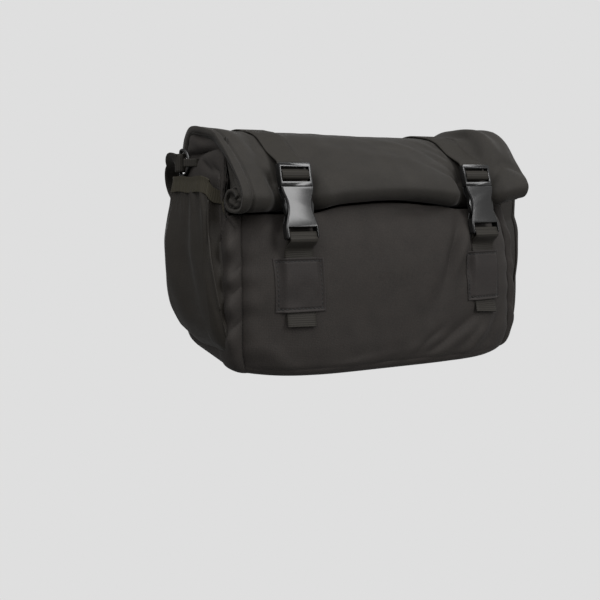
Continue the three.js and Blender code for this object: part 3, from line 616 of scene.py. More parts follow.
def thread_waves(tree, weave, direction, spacing, unevenness):
    """Bands at a real spacing along one direction of the cloth."""
    return add_node(
        tree,
        "ShaderNodeTexWave",
        {"Vector": weave},
        bands_direction=direction,
        Scale=WAVE_PERIOD / spacing,
        Distortion=unevenness,
        Detail=1.0,
    ).outputs["Fac"]


def fine_noise(tree, place, scale, detail):
    return add_node(tree, "ShaderNodeTexNoise", {"Vector": place}, Scale=scale, Detail=detail).outputs["Fac"]


def blend(tree, first, second, share):
    return add_node(tree, "ShaderNodeMix", {"A": first, "B": second}, Factor=share).outputs["Result"]


# %% [markdown]
# The main cloth is a coated nylon plain weave. Its yarns are about half a millimetre apart, too fine
# for the picture, so the weave is drawn at 1.3 mm. Two wave textures, one along each thread, make the
# over and under. Soft mottling lightens and darkens it, and a little sheen catches the light.

# %% Woven nylon
THREAD = 1.3 * MM


def woven_nylon(name, dark, light, rough=0.78, sheen=0.03):
    material, tree = new_material(name)
    weave = add_node(tree, "ShaderNodeUVMap", uv_map="weave").outputs["UV"]
    place = add_node(tree, "ShaderNodeTexCoord").outputs["Object"]
    warp = thread_waves(tree, weave, "X", THREAD, 0.6)
    weft = thread_waves(tree, weave, "Y", THREAD, 0.6)
    cloth = add_node(tree, "ShaderNodeMath", {0: warp, 1: weft}, operation="MULTIPLY").outputs[0]
    mottle = fine_noise(tree, place, 55.0, 5.0)
    grain = fine_noise(tree, place, 900.0, 2.0)
    spots = blend(tree, mottle, grain, 0.55)
    shade = blend(tree, spots, cloth, 0.12)
    height = blend(tree, grain, cloth, 0.35)
    bump = add_node(tree, "ShaderNodeBump", {"Height": height}, Strength=0.2, Distance=0.0006)
    finish_material(
        tree,
        Base_Color=two_tone(tree, shade, dark, light, 0.28, 0.72),
        Roughness=rough,
        IOR=1.5,
        Normal=bump.outputs["Normal"],
        Specular_IOR_Level=0.25,
        Sheen_Weight=sheen,
        Sheen_Roughness=0.4,
    )
    return material


nylon = woven_nylon("woven_nylon_charcoal", "#24211f", "#322e2b")
# The rolled top is the same cloth in a darker colour. The darker colour is painted shade that darkens the
# whole roll, its tucks and its caps. This copy is also a little smoother, with more sheen.
roll_nylon_painted_shade = woven_nylon("woven_nylon_roll_painted_shade", "#211f1c", "#2f2c28", rough=0.72, sheen=0.05)
pocket_nylon = woven_nylon("woven_nylon_pocket", "#1c1915", "#27231e", rough=0.6)
patch_nylon = woven_nylon("woven_nylon_patch", "#242120", "#312d2b", rough=0.7)

# %% [markdown]
# Webbing is a thick ribbed band. Its ribs run across it 1.7 mm apart and it is black. The lighter colour on
# top of each rib is a painted shine, mixed with a random tone of the yarn. The elastic of the pocket mouths
# is olive black, and its ribs, across it too, are a little further apart, with the same painted shine on
# their tops.

# %% Ribbed webbing and elastic


def ribbed(name, dark, light, direction, spacing, rough, depth):
    material, tree = new_material(name)
    weave = add_node(tree, "ShaderNodeUVMap", uv_map="weave").outputs["UV"]
    ribs = thread_waves(tree, weave, direction, spacing, 0.4)
    yarn = fine_noise(tree, weave, 1400.0, 2.0)
    both = blend(tree, ribs, yarn, 0.35)
    bump = add_node(tree, "ShaderNodeBump", {"Height": both}, Strength=depth, Distance=0.0008)
    # The colour follows the ribs and the yarn. It is lighter on each rib's top, which is a painted highlight,
    # and elsewhere it is a random tone of the yarn.
    finish_material(
        tree,
        Base_Color=two_tone(tree, both, dark, light),
        Roughness=rough,
        IOR=1.5,
        Normal=bump.outputs["Normal"],
        Specular_IOR_Level=0.25,
    )
    return material


webbing = ribbed("ribbed_webbing_black", "#1d1b18", "#2f2c27", "Y", 1.7 * MM, 0.7, 0.25)
elastic = ribbed("ribbed_elastic_olive", "#2a271d", "#38342a", "X", 2.2 * MM, 0.8, 0.2)

# %% [markdown]
# Buckles are moulded acetal, black and glossy, and the rings are moulded nylon. A mould leaves a
# very slight orange peel, so a fine noise moves the roughness and the bump a little.

# %% Moulded plastics and thread
MOULD_LIGHT = "#1c1c1c"


def moulded(name, colour, rough, peel):
    material, tree = new_material(name)
    place = add_node(tree, "ShaderNodeTexCoord").outputs["Object"]
    skin = fine_noise(tree, place, 700.0, 3.0)
    shine = add_node(tree, "ShaderNodeMapRange", {"Value": skin})
    shine.inputs["To Min"].default_value = rough - 0.01
    shine.inputs["To Max"].default_value = rough + 0.03
    bump = add_node(tree, "ShaderNodeBump", {"Height": skin}, Strength=peel, Distance=0.0004)
    finish_material(
        tree,
        Base_Color=two_tone(tree, skin, colour, MOULD_LIGHT),
        Roughness=shine.outputs["Result"],
        IOR=1.49,
        Normal=bump.outputs["Normal"],
        Specular_IOR_Level=0.6,
    )
    return material


acetal = moulded("moulded_acetal_black", "#121212", 0.21, 0.003)
ring_nylon = moulded("moulded_nylon_ring", "#0b0b0b", 0.24, 0.03)
thread = moulded("spun_thread_black", "#0c0b0a", 0.75, 0.1)

# %% [markdown]
# The tub is one closed ring of points, level by level, from the floor to the rim. Its floor is closed
# with rows that shrink almost to a point, and Solidify turns the face into a wall of two millimetres.

# %% The sewn tub
BODY_POINTS = [14, 5, 34, 42, 90]
FLOOR_SHARES = [0.02, 0.2, 0.45, 0.7, 0.88, 0.96]
FLOOR_SAG = 1.0


def ring_turns(counts):
    turns = [stretch + step / count for stretch, count in enumerate(counts) for step in range(count)]
    return np.array([*turns, TURNS])


def body_mesh():
    half = ring_turns(BODY_POINTS)
    rises = np.concatenate([[0, 0.006], np.linspace(0.015, 0.2, 26), np.linspace(0.21, 1.0, 92)])
    rows = []
    for rise in rises:
        right = body_point(1, half, np.full(half.shape, rise))
        left = body_point(-1, half, np.full(half.shape, rise))[1:-1][::-1]
        rows.append(np.concatenate([right, left]))
    first = rows[0]
    centre = first.mean(axis=0)
    shrink = [mix(centre, first, share) for share in FLOOR_SHARES]
    for row in shrink:
        row[:, 2] = mix(first[:, 2], row[:, 2], 0.4) - FLOOR_SAG
    return np.array([*shrink, *rows])


body = cloth_grid("bag_body_cloth", body_mesh(), around=True)
thicken(body, CLOTH)
finish_piece(body, nylon, "cloth", "bag_body")

# %% [markdown]
# The rolled top is a grid along its path. Near its ends the cloth is hemmed and doubled, so the wall
# grows to a lip, thick at the top and thin at the fold. At the left end the hem's seam is a groove
# beside that lip, near the edge at the top and further in at the fold. Slack folds gather beside the
# straps, and the straps press their beds flat.

# %% The rolled top
roll_folds = [
    # across, along the path, lean, reach, spread, deep
    (-130, 78, 20, 26, 6, 1.4),
    (-118, 108, -14, 30, 7, -2.0),
    (-112, 128, 12, 16, 6, -1.8),
    (-108, 60, 30, 24, 7, 1.0),
    (-72, 116, -24, 26, 6, -1.2),
    (-60, 92, -40, 26, 8, 0.9),
    (20, 112, 78, 60, 7, 0.9),
    (52, 96, 62, 30, 6, 1.6),
    (62, 104, 50, 26, 5, -1.9),
    (72, 88, 46, 22, 5, 1.5),
    (78, 118, 34, 20, 5, 1.6),
    (66, 126, 66, 26, 4, -1.3),
    (112, 66, 6, 20, 4, 2.6),
    (118, 74, -8, 26, 5, -2.6),
    (128, 62, -24, 24, 6, 2.4),
    (134, 92, 14, 22, 7, -2.4),
    (122, 112, 30, 20, 7, 2.6),
    (140, 116, -10, 16, 6, 1.8),
    (112, 128, 60, 14, 6, -2.2),
    (132, 134, 70, 14, 5, -2.4),
]

HEM_TOP = 4.5
HEM_LOW = 9.0
HEM_GROOVE = 1.5
HEM_DEPTH = 1.9
HEM_PUFF = 0.7
BED_EDGE = 4
BESIDE_STRAP = 0.7
ROLL_UNEVEN = 0.5
ROLL_FINE_UNEVEN = 0.25
LIP_THICK = 7.5
LIP_CLOTH = 0.33
LIP_FOLD = 0.36
CROWN_ROW, CROWN_COLUMN = 130, 40
sewn_edge = np.array([(0.034, 0.66), (0.024, 0.705)])


def roll_grid():
    start, stop = ROLL_SHIFT - ROLL_HALF, ROLL_SHIFT + ROLL_HALF
    places = np.concatenate([np.linspace(start, start + 18, 44), np.linspace(start + 19, stop, 240)])
    shares = np.vstack([sewn_edge, roll_shares])
    x = places[:, None] + 0 * shares[None, :, 0]
    y, z = roll_at(x, shares[None, :, 0], shares[None, :, 1])
    grid = np.stack([x, y, z], axis=-1)
    run = lengths(grid, 1)
    run = run - run[:, :1]
    normal = unit(np.cross(np.gradient(grid, axis=0), np.gradient(grid, axis=1)))
    depth = ROLL_UNEVEN * soft_noise(x, run, 30) + ROLL_FINE_UNEVEN * soft_noise(x + 40, run, 12)
    depth = depth + folds_depth(roll_folds, x, run)
    hem = bell(x - start - mix(HEM_TOP, HEM_LOW, smooth(run, 40, 130)), HEM_GROOVE)
    depth = depth - HEM_DEPTH * hem * smooth(run, 24, 46) + HEM_PUFF * bell((x - start) / HEM_LOW - 0.4, 0.4)
    past_strap = np.abs(np.abs(x) - STRAP_PLACE) - STRAP_WIDTH / 2
    bed = 1 - smooth(past_strap, 0, BED_EDGE)
    edge = bell(past_strap - 3, 2.5) * smooth(run, 20, 60)
    depth = depth * (1 - bed) + BESIDE_STRAP * edge
    outward = -1 if normal[CROWN_ROW, CROWN_COLUMN, 2] < 0 else 1
    return grid + outward * normal * (depth + ROLL_THICK / 2)[..., None], run


roll_points, roll_run = roll_grid()
roll = cloth_grid("roll_top_cloth", roll_points)
roll_lip = roll.vertex_groups.new(name="lip")
lip_reach = np.abs(ROLL_HALF - np.abs(roll_points[..., 0] - ROLL_SHIFT))
hem_size = mix(1.0, LIP_FOLD, smooth(roll_run, 60, 145))
lip_size = mix(LIP_CLOTH, hem_size, 1 - smooth(lip_reach, 1, 12))
for index, weight in enumerate(lip_size.ravel()):
    roll_lip.add([index], float(weight), "REPLACE")
roll_wall = thicken(roll, LIP_THICK)
roll_wall.vertex_group = "lip"
# The roll's cloth is the darker copy, coloured with painted shade.
finish_piece(roll, roll_nylon_painted_shade, "roll_cloth", "roll_top")

# %% [markdown]
# Inside each end of the roll the gusset's spare cloth is tucked in, so the end isn't an open tube.
# The tuck is one more sheet: it runs from the roll's inner face to the gable's front edge, folded
# along the roll, and a second small gathered sheet closes the spiral at the bottom.

# %% The tucks in the roll's ends
TUCK_INSET = 2.6
TUCK_BACK = 74.0
TUCK_LEAN = 8.0
TUCK_FOOT = -16.0
TUCK_TOP = 0.93
TUCK_FIRST = 40
TUCK_OFF = 0.8
TUCK_SAG = 2.0
TUCK_FOLDS = 2.3
TUCK_CLOTH = 1.0
TUCK_DEPTH = 2.1
CRUMPLE_DEPTH = 1.5
CAP_POINTS = (72, 22)
CAP_GATHERS = 5
CAP_GATHER_DEPTH = 0.9
CAP_CRUMPLE_DEPTH = 1.3
CAP_SWIRL = 9
CAP_SWIRL_DEPTH = 1.8


def roll_end(side):
    return ROLL_SHIFT + side * (ROLL_HALF - TUCK_INSET)


def tuck_grid(side):
    rows = roll_shares[(roll_shares[:, 1] < TUCK_TOP) & (np.arange(ROLL_SAMPLES) > TUCK_FIRST)]
    rows = rows[: int(np.argmax(rows[:, 1] < 0.03)) + 1]
    end = roll_end(side)
    inner = np.stack(roll_line(end, rows, -TUCK_OFF), axis=1)
    down = np.linspace(0, 1, len(inner))
    gable_y = BACK_FACE - TUCK_BACK - TUCK_LEAN * down
    gable_z = mix(inner[0, 1] - 3, TUCK_FOOT, down)
    share, tall = np.meshgrid(np.linspace(0, 1, 46), down)
    place_y = mix(inner[:, :1], gable_y[:, None], share)
    place_z = mix(inner[:, 1:], gable_z[:, None], share) - TUCK_SAG * np.sin(np.pi * share)
    wander = share + 0.05 * np.sin(7 * tall + 1.0) + 0.03 * np.sin(17 * tall)
    fold = TUCK_DEPTH * np.cos(2 * np.pi * TUCK_FOLDS * wander) * smooth(share, 0.02, 0.2)
    crumple = CRUMPLE_DEPTH * soft_noise(share * 30, tall * 70 + 40 * side, 7) * smooth(tall, 0.3, 0.9)
    place_x = end - side * (1.0 + 3.2 * share + (fold + crumple) * smooth(1 - share, 0.0, 0.15))
    return np.stack([place_x, place_y, place_z], axis=-1)


def spiral_cap(side):
    rows = roll_shares[roll_shares[:, 1] < FOLD_LEVEL]
    end = roll_end(side)
    spiral = np.stack(roll_line(end, rows, 0.0))
    middle = (spiral.min(axis=1) + spiral.max(axis=1)) / 2
    half = (spiral.max(axis=1) - spiral.min(axis=1)) / 2
    around, outward = CAP_POINTS
    turns = np.linspace(0, 2 * np.pi, around, endpoint=False)
    turn, share = np.meshgrid(turns, np.linspace(0.04, 0.98, outward))
    gather = CAP_GATHER_DEPTH * np.cos(CAP_GATHERS * turn + 3 * share) * share
    crumple = CAP_CRUMPLE_DEPTH * soft_noise(share * 14, turn * 9 + side, 5)
    swirl = CAP_SWIRL_DEPTH * np.cos(turn - CAP_SWIRL * share)
    bulge = (gather + crumple + swirl) * (1 - smooth(share, 0.8, 1.0)) + 1.0 * (1 - share)
    place_x = end - side * (0.6 - 0.7 * bulge)
    place_y = middle[0] + half[0] * share * np.cos(turn)
    place_z = middle[1] + half[1] * share * np.sin(turn)
    return np.stack([place_x, place_y, place_z], axis=-1)


for hand, side in HANDS:
    tuck = cloth_grid(f"roll_tuck_{hand}", tuck_grid(side), flip=side > 0)
    cap = cloth_grid(f"roll_cap_{hand}", spiral_cap(side), around=True, flip=side > 0)
    for sheet in (tuck, cap):
        thicken(sheet, TUCK_CLOTH)
        # The tucks and caps use the roll's darker copy of the cloth, coloured with painted shade.
        finish_piece(sheet, roll_nylon_painted_shade, "roll_cloth")

# %% [markdown]
# The end pockets are cloth standing off the gussets. Their front edge is a soft pleat, which turns
# back under itself and leaves a dark valley beside the swollen strip. At the mouth the elastic draws
# the cloth into gathers, deep under the band and fading towards the belly.

# %% The gathered pockets
POCKET_FLOOR = -0.85 * BOTTOM_DROP
POCKET_TOP = -4.5
POCKET_SEAT = 1.6
POCKET_START = 1.4
BAND_HEIGHT = 11.5
BAND_THICK = 1.6
BAND_PAST = 0.52
BAND_UNDER = 1.4
BAND_POINTS = (180, 16)
POCKET_CLOTH = 0.8
POCKET_POINTS = (210, 130)
POCKET_BACK_LIFT = 0.87
POCKET_FRONT_DROP = 8
OUTWARD_LAST = 2.8
OUTWARD_STEP = 0.15
CREST_AT = 0.88
GATHERS = 15.3
GATHER_DEPTH = 0.9
BROAD_GATHERS = 6.1
BROAD_DEPTH = 1.5
BELLY_FOLDS = 2.4
BELLY_DEPTH = 1.5
pocket_dents = [
    # along, width, tall, height, deep
    (0.5, 0.07, 0.55, 0.2, -1.8),
    (0.63, 0.05, 0.48, 0.26, 1.4),
]
pocket_across = {
    "along": [0.0, 0.06, 0.14, 0.4, 0.62, 0.78, 0.88, 0.92, 0.96, 1.0],
    "reach": [0.0, 0.08, 0.18, 0.45, 0.68, 0.88, 1.0, 0.965, 0.94, 1.02],
    "belly": [0.3, 11.4, 16.6, 15.4, 12.6, 9.0, 0.0, 0.0, 0.0, 0.0],
    "mouth": [0.6, 6.4, 9.8, 9.8, 9.0, 9.8, 0.0, 0.0, 0.0, 0.0],
    "crest": [0.0, 0.0, 0.0, 0.0, 0.12, 0.5, 1.0, 0.68, 0.24, -0.24],
}
pocket_upward = {
    "tall": [0.0, 0.06, 0.2, 0.35, 0.5, 0.65, 0.8, 1.0],
    "puff": [0.05, 0.42, 0.8, 0.96, 1.0, 1.0, 1.0, 1.0],
    "left turn": [3.84, 3.78, 3.6, 3.44, 3.3, 3.2, 3.12, 3.02],
    "left stand": [1.6, 4.2, 7.0, 8.8, 10.6, 12.2, 13.0, 12.0],
    "right turn": [3.84, 3.78, 3.6, 3.44, 3.32, 3.26, 3.2, 3.1],
    "right stand": [0.2, 0.6, 1.8, 4.6, 8.4, 12.2, 16.0, 19.0],
}


def outward_at(side, turn, z):
    """The level way out of the body, which no longer turns once it is near the front."""
    turn = np.minimum(turn, OUTWARD_LAST)
    ahead = body_at(side, turn + OUTWARD_STEP, z)
    behind = body_at(side, turn - OUTWARD_STEP, z)
    level = unit((ahead - behind)[..., :2])
    return np.stack([-level[..., 1] * side, level[..., 0] * side, 0 * level[..., 0]], axis=-1)


def pocket_gathers(along, tall):
    """Fine and broad gathers under the band, and the belly's own long folds."""
    open_part = smooth(along, 0.03, 0.1) * (1 - smooth(along, 0.84, 0.89))
    near = bell(1 - tall, 0.1)
    fade = bell(1 - tall, 0.3)
    wide = bell(tall - 0.5, 0.34)
    wander = along + 0.012 * np.sin(9 * tall)
    fine = GATHER_DEPTH * np.cos(2 * np.pi * GATHERS * wander) * near
    uneven = 0.65 + 0.5 * np.sin(2 * np.pi * 1.7 * along + 0.8)
    broad = BROAD_DEPTH * np.cos(2 * np.pi * BROAD_GATHERS * wander + 0.6) * fade * uneven
    belly = BELLY_DEPTH * np.sin(2 * np.pi * BELLY_FOLDS * along + 2.0 + 2.2 * tall) * wide
    dents = 0
    for place, width, level, height, deep in pocket_dents:
        dents = dents + deep * bell(along - place, width) * bell(tall - level, height)
    return (fine + broad + belly + dents) * open_part


def pocket_place(side, along, tall):
    """The turn round the body and how far out the pocket's cloth stands there."""
    across = lambda column: curve(pocket_across, "along", column, along)
    upward = lambda column: curve(pocket_upward, "tall", column, tall)
    hand = "left" if side < 0 else "right"
    turn = POCKET_START + (upward(f"{hand} turn") - POCKET_START) * across("reach")
    crest = across("crest")
    own = mix(across("belly"), across("mouth"), smooth(tall, 0.6, 1.0)) * upward("puff")
    slimmer = 1 - crest * smooth(along, 0.5, CREST_AT)
    stand = own * np.where(along < CREST_AT, slimmer, 0.0) + crest * upward(f"{hand} stand")
    return turn, stand


def pocket_grid(side):
    across, upward = POCKET_POINTS
    along, tall = np.meshgrid(np.linspace(0, 1, across), np.linspace(0, 1, upward))
    turn, stand = pocket_place(side, along, tall)
    lifted = 1 - smooth(turn, POCKET_START, 2.45)
    floor = mix(POCKET_FLOOR, POCKET_FLOOR * POCKET_BACK_LIFT, lifted)
    dropped = smooth(turn, 2.8, 3.05) * POCKET_FRONT_DROP
    z = mix(floor, POCKET_TOP - dropped, tall)
    stand = stand + pocket_gathers(along, tall) * smooth(tall, 0.0, 0.15)
    stand = stand + 0.35 * soft_noise(along * 150 + 90 * side, tall * 130, 16)
    return body_at(side, turn, z) + outward_at(side, turn, z) * (stand + POCKET_SEAT)[..., None]


for hand, side in HANDS:
    pocket = cloth_grid(f"side_pocket_{hand}_cloth", pocket_grid(side), flip=side > 0)
    thicken(pocket, POCKET_CLOTH)
    finish_piece(pocket, pocket_nylon, "pocket_cloth", f"side_pocket_{hand}")

# %% [markdown]
# The elastic band binds each mouth. It follows the pocket's gathers only faintly, since it is
# stretched, and its edges roll outwards a little. At the front it goes on past the pleat, narrower
# and lower, until it is under the roll's end.

# %% The elastic bands
BAND_STAND = 1.2
BAND_DROP = 6.4
END_DROP = 3.0
END_FLATTER = 0.75
END_NARROWER = 0.3
BAND_GATHER = 0.3
BAND_SWAY = 0.5


def band_grid(side):
    across, upward = BAND_POINTS
    along, tall = np.meshgrid(np.linspace(0.02, 1.0, across), np.linspace(0, 1, upward))
    past = smooth(along, CREST_AT, 1.0)
    turn, stand = pocket_place(side, np.minimum(along, CREST_AT), np.ones(along.shape))
    turn = turn + BAND_PAST * past
    stand = stand * (1 - END_FLATTER * past)
    tucked = smooth(along, 0.8, 0.9) * (1 - past)
    foot = POCKET_TOP - BAND_UNDER - BAND_DROP * smooth(turn, 2.8, 3.25) - END_DROP * past
    z = foot + (BAND_HEIGHT + BAND_UNDER) * tall * (1 - END_NARROWER * past)
    z = z + BAND_SWAY * np.sin(2 * np.pi * 3 * along)
    gathered = BAND_GATHER * np.cos(2 * np.pi * GATHERS * along) * (1 - tall)
    curl = 0.5 * bell(tall - 1, 0.2) + 0.3 * bell(tall, 0.15)
    stand = stand + POCKET_SEAT + BAND_STAND + gathered + curl
    stand = stand - 1.4 * tucked - 1.0 * smooth(tall, 0.1, 1.0)
    return body_at(side, turn, z) + outward_at(side, turn, z) * stand[..., None]


for hand, side in HANDS:
    band = cloth_grid(f"pocket_band_{hand}_elastic", band_grid(side), flip=side > 0)
    thicken(band, BAND_THICK, bevel=0.3)
    finish_piece(band, elastic, "elastic", f"pocket_band_{hand}")

# %% [markdown]
# Webbing is a flat band swept along a path. Each row of the path knows its place and the direction
# across it, so a twist is only a turning of that direction. The section has rounded selvedges.

# %% Swept webbing
SELVEDGE = 0.45


def swept_band(name, path, across, width, thickness):
    half, skin = width / 2, thickness / 2
    columns = np.linspace(-half + SELVEDGE, half - SELVEDGE, 9)
    section = [(-half, 0.0), *[(c, skin) for c in columns], (half, 0.0), *[(c, -skin) for c in columns[::-1]]]
    section = np.array(section)
    along = unit(np.gradient(path, axis=0))
    across = unit(across - along * np.sum(across * along, axis=1, keepdims=True))
    face = np.cross(across, along)
    grid = path[:, None] + across[:, None] * section[None, :, :1] + face[:, None] * section[None, :, 1:]
    rows, count = len(path), len(section)
    run = np.concatenate([[0], np.cumsum(np.linalg.norm(np.diff(path, axis=0), axis=1))]) * MM
    faces, corners = [], []
    for row in range(rows - 1):
        for column in range(count):
            after = (column + 1) % count
            quad = [(row, after), (row, column), (row + 1, column), (row + 1, after)]
            faces.append([r * count + c for r, c in quad])
            corners += [(section[c, 0] * MM, run[r]) for r, c in quad]
    for row in (0, rows - 1):
        order = range(count) if row == 0 else range(count - 1, -1, -1)
        faces.append([row * count + c for c in order])
        corners += [(section[c, 0] * MM, run[row]) for c in order]
    piece = cloth_mesh(name, grid, faces, corners)
    for end in (-2, -1):
        piece.data.polygons[len(faces) + end].use_smooth = False
    return piece


LEVEL = np.array([1.0, 0.0, 0.0])
UPRIGHT = np.array([0.0, 0.0, 1.0])

# %% [markdown]
# The buckles hang on a line that leans fourteen degrees, and the webbing passes round their bars. The
# helper below turns a distance down the buckle and a distance out of it into a place.

# %% Places on a buckle
BUCKLE_TILT = np.radians(14)
BUCKLE_TOP = 17.5
BUCKLE_FORWARD = ROLL_DEPTH - BACK_FACE - 10.7
BUCKLE_LENGTH = 62.0
LADDER_BAR = 3.2
LADDER_LENGTH = 19.0
LADDER_THICK = 5.4
WRAP_BAR = 2.6
MIDDLE_BAR = LADDER_BAR * 1.5 + (LADDER_LENGTH - 3 * LADDER_BAR) / 2
WRAP_OUT = WRAP_BAR / 2 + SEAT + WEBBING / 2
WRAP_CLEAR = WRAP_OUT - WRAP_BAR / 2


def buckle_at(side, down, out):
    y = -BUCKLE_FORWARD - down * np.sin(BUCKLE_TILT) - out * np.cos(BUCKLE_TILT)
    z = BUCKLE_TOP - down * np.cos(BUCKLE_TILT) + out * np.sin(BUCKLE_TILT)
    return (side * STRAP_PLACE, y, z)


# %% [markdown]
# Each top strap is sewn low on the bag's back, goes up and over the roll, and ends round the middle
# bar of the ladder, where its own grip holds it.

# %% The top straps
STRAP_CLEAR = 0.4
STRAP_ROWS = 230
WRAP_SLACK = 0.6


def top_strap_path(side):
    x = side * STRAP_PLACE
    shares = roll_shares[roll_shares[:, 1] >= 0.6]
    shares = shares[: int(np.argmax(shares[:, 0])) + 1]
    y, z = roll_line(x, shares, ROLL_THICK / 2 + SEAT + WEBBING / 2 + STRAP_CLEAR)
    over = np.stack([0 * y + x, y, z], axis=1)
    back = BACK_FACE + SEAT + WEBBING / 2
    rows = [(x, back, -20.0), (x, back, 0.0), (x, back, 14.0), *over[::9]]
    behind = -LADDER_THICK / 2 - SEAT - WEBBING / 2
    low = MIDDLE_BAR + LADDER_BAR / 2 + WRAP_CLEAR + WRAP_SLACK
    high = MIDDLE_BAR - LADDER_BAR / 2 - WRAP_CLEAR - WRAP_SLACK
    wrap = [
        (-LADDER_BAR, behind - 1.2),
        (LADDER_BAR / 2, behind - 0.8),
        (MIDDLE_BAR - 2, behind - 0.6),
        (MIDDLE_BAR + 2.2, behind + 0.7),
        (low, -WRAP_OUT + 0.6),
        (low, WRAP_OUT - 0.8),
        (MIDDLE_BAR + LADDER_BAR / 2, WRAP_OUT + 0.3),
        (MIDDLE_BAR, WRAP_OUT + 0.5),
        (MIDDLE_BAR - LADDER_BAR / 2, WRAP_OUT + 0.3),
        (high, WRAP_OUT - 0.9),
        (high, -0.2),
        (MIDDLE_BAR - LADDER_BAR / 2 - 0.9, -WRAP_OUT + 0.2),
    ]
    return rows + [buckle_at(side, down, out) for down, out in wrap]


for hand, side in HANDS:
    path = spaced_path(top_strap_path(side), STRAP_ROWS)
    strap = swept_band(f"top_strap_{hand}_webbing", path, LEVEL, STRAP_WIDTH, WEBBING)
    finish_piece(strap, webbing, "webbing", f"top_strap_{hand}")

# %% [markdown]
# The front panel carries the lower straps and the patches. The helpers find the panel's face at a
# place across and a height, and the way straight out of it.

# %% Places on the front panel
PATCH_SIDE = 42.0
PATCH_TOP = -0.38 * BOTTOM_DROP
PATCH_SEAT = 0.7
TAIL_DROP = -0.727 * BOTTOM_DROP
LOWER_STRAP_ROWS = 200
FRONT_HALVINGS = 13


def front_at(x, z):
    x, z = np.broadcast_arrays(np.asarray(x, float), np.asarray(z, float))
    side = np.where(x < 0, -1, 1)

    def face(rise):
        reach = SEAM_HALF * curve(body_sections, "rise", "width", rise)
        return body_point(side, TURNS - np.abs(x) / reach, rise)

    return face(rise_where(lambda rise: face(rise)[..., 2], z, FRONT_HALVINGS))


def front_out(x, z, reach=4.0):
    across = front_at(x + reach, z) - front_at(x - reach, z)
    tall = front_at(x, z + reach) - front_at(x, z - reach)
    return unit(np.cross(across, tall))


def lower_strap_path(side):
    x = side * STRAP_PLACE

    def layer(z, count):
        stand = PATCH_SEAT + WEBBING / 2 + count * (WEBBING + SEAT)
        return front_at(x, z) + front_out(x, z) * stand

    bar = BUCKLE_LENGTH - LADDER_BAR / 2
    high = bar - LADDER_BAR / 2 - WRAP_CLEAR - WRAP_SLACK
    under = [layer(z, 0) for z in (-97, -88, -80, -72, -62, PATCH_TOP + 6)]
    tail = [layer(TAIL_DROP, 1.9), layer(-106, 1.2), *under]
    wrap = [
        (bar + 4, -WRAP_OUT - 1.3),
        (bar, -WRAP_OUT - 0.3),
        (bar - 2, -WRAP_OUT - 0.3),
        (high, -WRAP_OUT + 0.9),
        (high, WRAP_OUT - 0.9),
        (bar - 2, WRAP_OUT + 0.3),
        (bar, WRAP_OUT + 0.3),
        (bar + 4, WRAP_OUT + 0.5),
    ]
    down = [layer(PATCH_TOP + 6, 1), layer(PATCH_TOP - 8, 1)]
    return [*tail, *[buckle_at(side, low, out) for low, out in wrap], *down]


strap_lean = {}
for hand, side in HANDS:
    out = front_out(side * STRAP_PLACE, -90.0, 10.0)
    strap_lean[hand] = unit(np.array([-out[1], out[0], 0.0]))
    path = spaced_path(lower_strap_path(side), LOWER_STRAP_ROWS)
    near_buckle = smooth(path[:, 2], -66, -48)[:, None]
    across = mix(strap_lean[hand], LEVEL, near_buckle)
    strap = swept_band(f"lower_strap_{hand}_webbing", path, across, STRAP_WIDTH, WEBBING)
    finish_piece(strap, webbing, "webbing", f"lower_strap_{hand}")

# %% [markdown]
# Each patch is a square of the bag's cloth sewn over the strap. It lies on the panel at its edges,
# steps up over the webbing, and its line of stitches pulls it in just inside its border.

# %% The strap patches
PATCH_CLOTH = 1.5
PATCH_LIFT = 1.9
STITCH_INSET = 2.4
PATCH_POINTS = 64


def patch_grid(side):
    hand = "left" if side < 0 else "right"
    half = PATCH_SIDE / 2
    sideways, downwards = np.linspace(-half, half, PATCH_POINTS), np.linspace(0, PATCH_SIDE, PATCH_POINTS)
    beside, down = np.meshgrid(sideways, downwards)
    middle = side * STRAP_PLACE
    z = PATCH_TOP - down
    panel_x = middle + beside * abs(strap_lean[hand][0])
    base = front_at(panel_x, z)
    out = front_out(middle + 0 * z, z)
    strap_line = front_at(middle + 0 * z, z)
    flat = strap_line + strap_lean[hand] * beside[..., None]
    over = 1 - smooth(np.abs(beside), STRAP_WIDTH / 2, STRAP_WIDTH / 2 + 5)
    layers = 1 + (1 - smooth(down, 9, 38))
    step = layers * (WEBBING + SEAT)
    border = np.minimum(np.minimum(half - np.abs(beside), down), PATCH_SIDE - down)
    pulled = -0.8 * bell(border - STITCH_INSET, 0.8) + 0.5 * bell(border - 0.6, 0.9)
    pulled = pulled + 0.5 * smooth(border, 3, 9) * (1 - over)
    soft = 0.4 * soft_noise(beside + 60 * side, down, 11)
    place = mix(base, flat, over[..., None])
    stand = PATCH_SEAT + PATCH_LIFT + step * over + pulled + soft * smooth(border, 1, 5)
    return place + out * stand[..., None]


patch_grids = {}
for hand, side in HANDS:
    patch_grids[hand] = patch_grid(side)
    patch = cloth_grid(f"strap_patch_{hand}_cloth", patch_grids[hand], flip=True)
    thicken(patch, PATCH_CLOTH, bevel=0.2)
    finish_piece(patch, patch_nylon, "patch_cloth", f"strap_patch_{hand}")

# %% [markdown]
# The rings are moulded as a round wire in a D, whose straight side takes the bar strap. The wire's
# round section is carried along that outline.

# %% The corner rings
RING_HEIGHT = 25.0
RING_WIDTH = 21.0
RING_WIRE = 3.2
RING_CORNER = 3.0
RING_STEP = 2.5
RING_BROW = 1.2
RING_CHEEK = 1.8
RING_POINTS = 72
WIRE_POINTS = 16
WELD = 0.00001


def ring_outline():
    """The D's outline: half of it listed point by point, from the straight side round to the tip, then
    mirrored.
    """
    half, front = (RING_HEIGHT - RING_WIRE) / 2, (RING_WIDTH - RING_WIRE) / 2
    upper = [(-front, half - RING_CORNER), (-front + RING_STEP, half), (2, half - RING_BROW)]
    upper += [(front - RING_CHEEK, half * 0.5), (front, 0)]
    lower = [(out, -up) for out, up in upper[-2::-1]]
    return spaced_path([lower[-1], *upper, *lower], RING_POINTS + 1)[:-1]


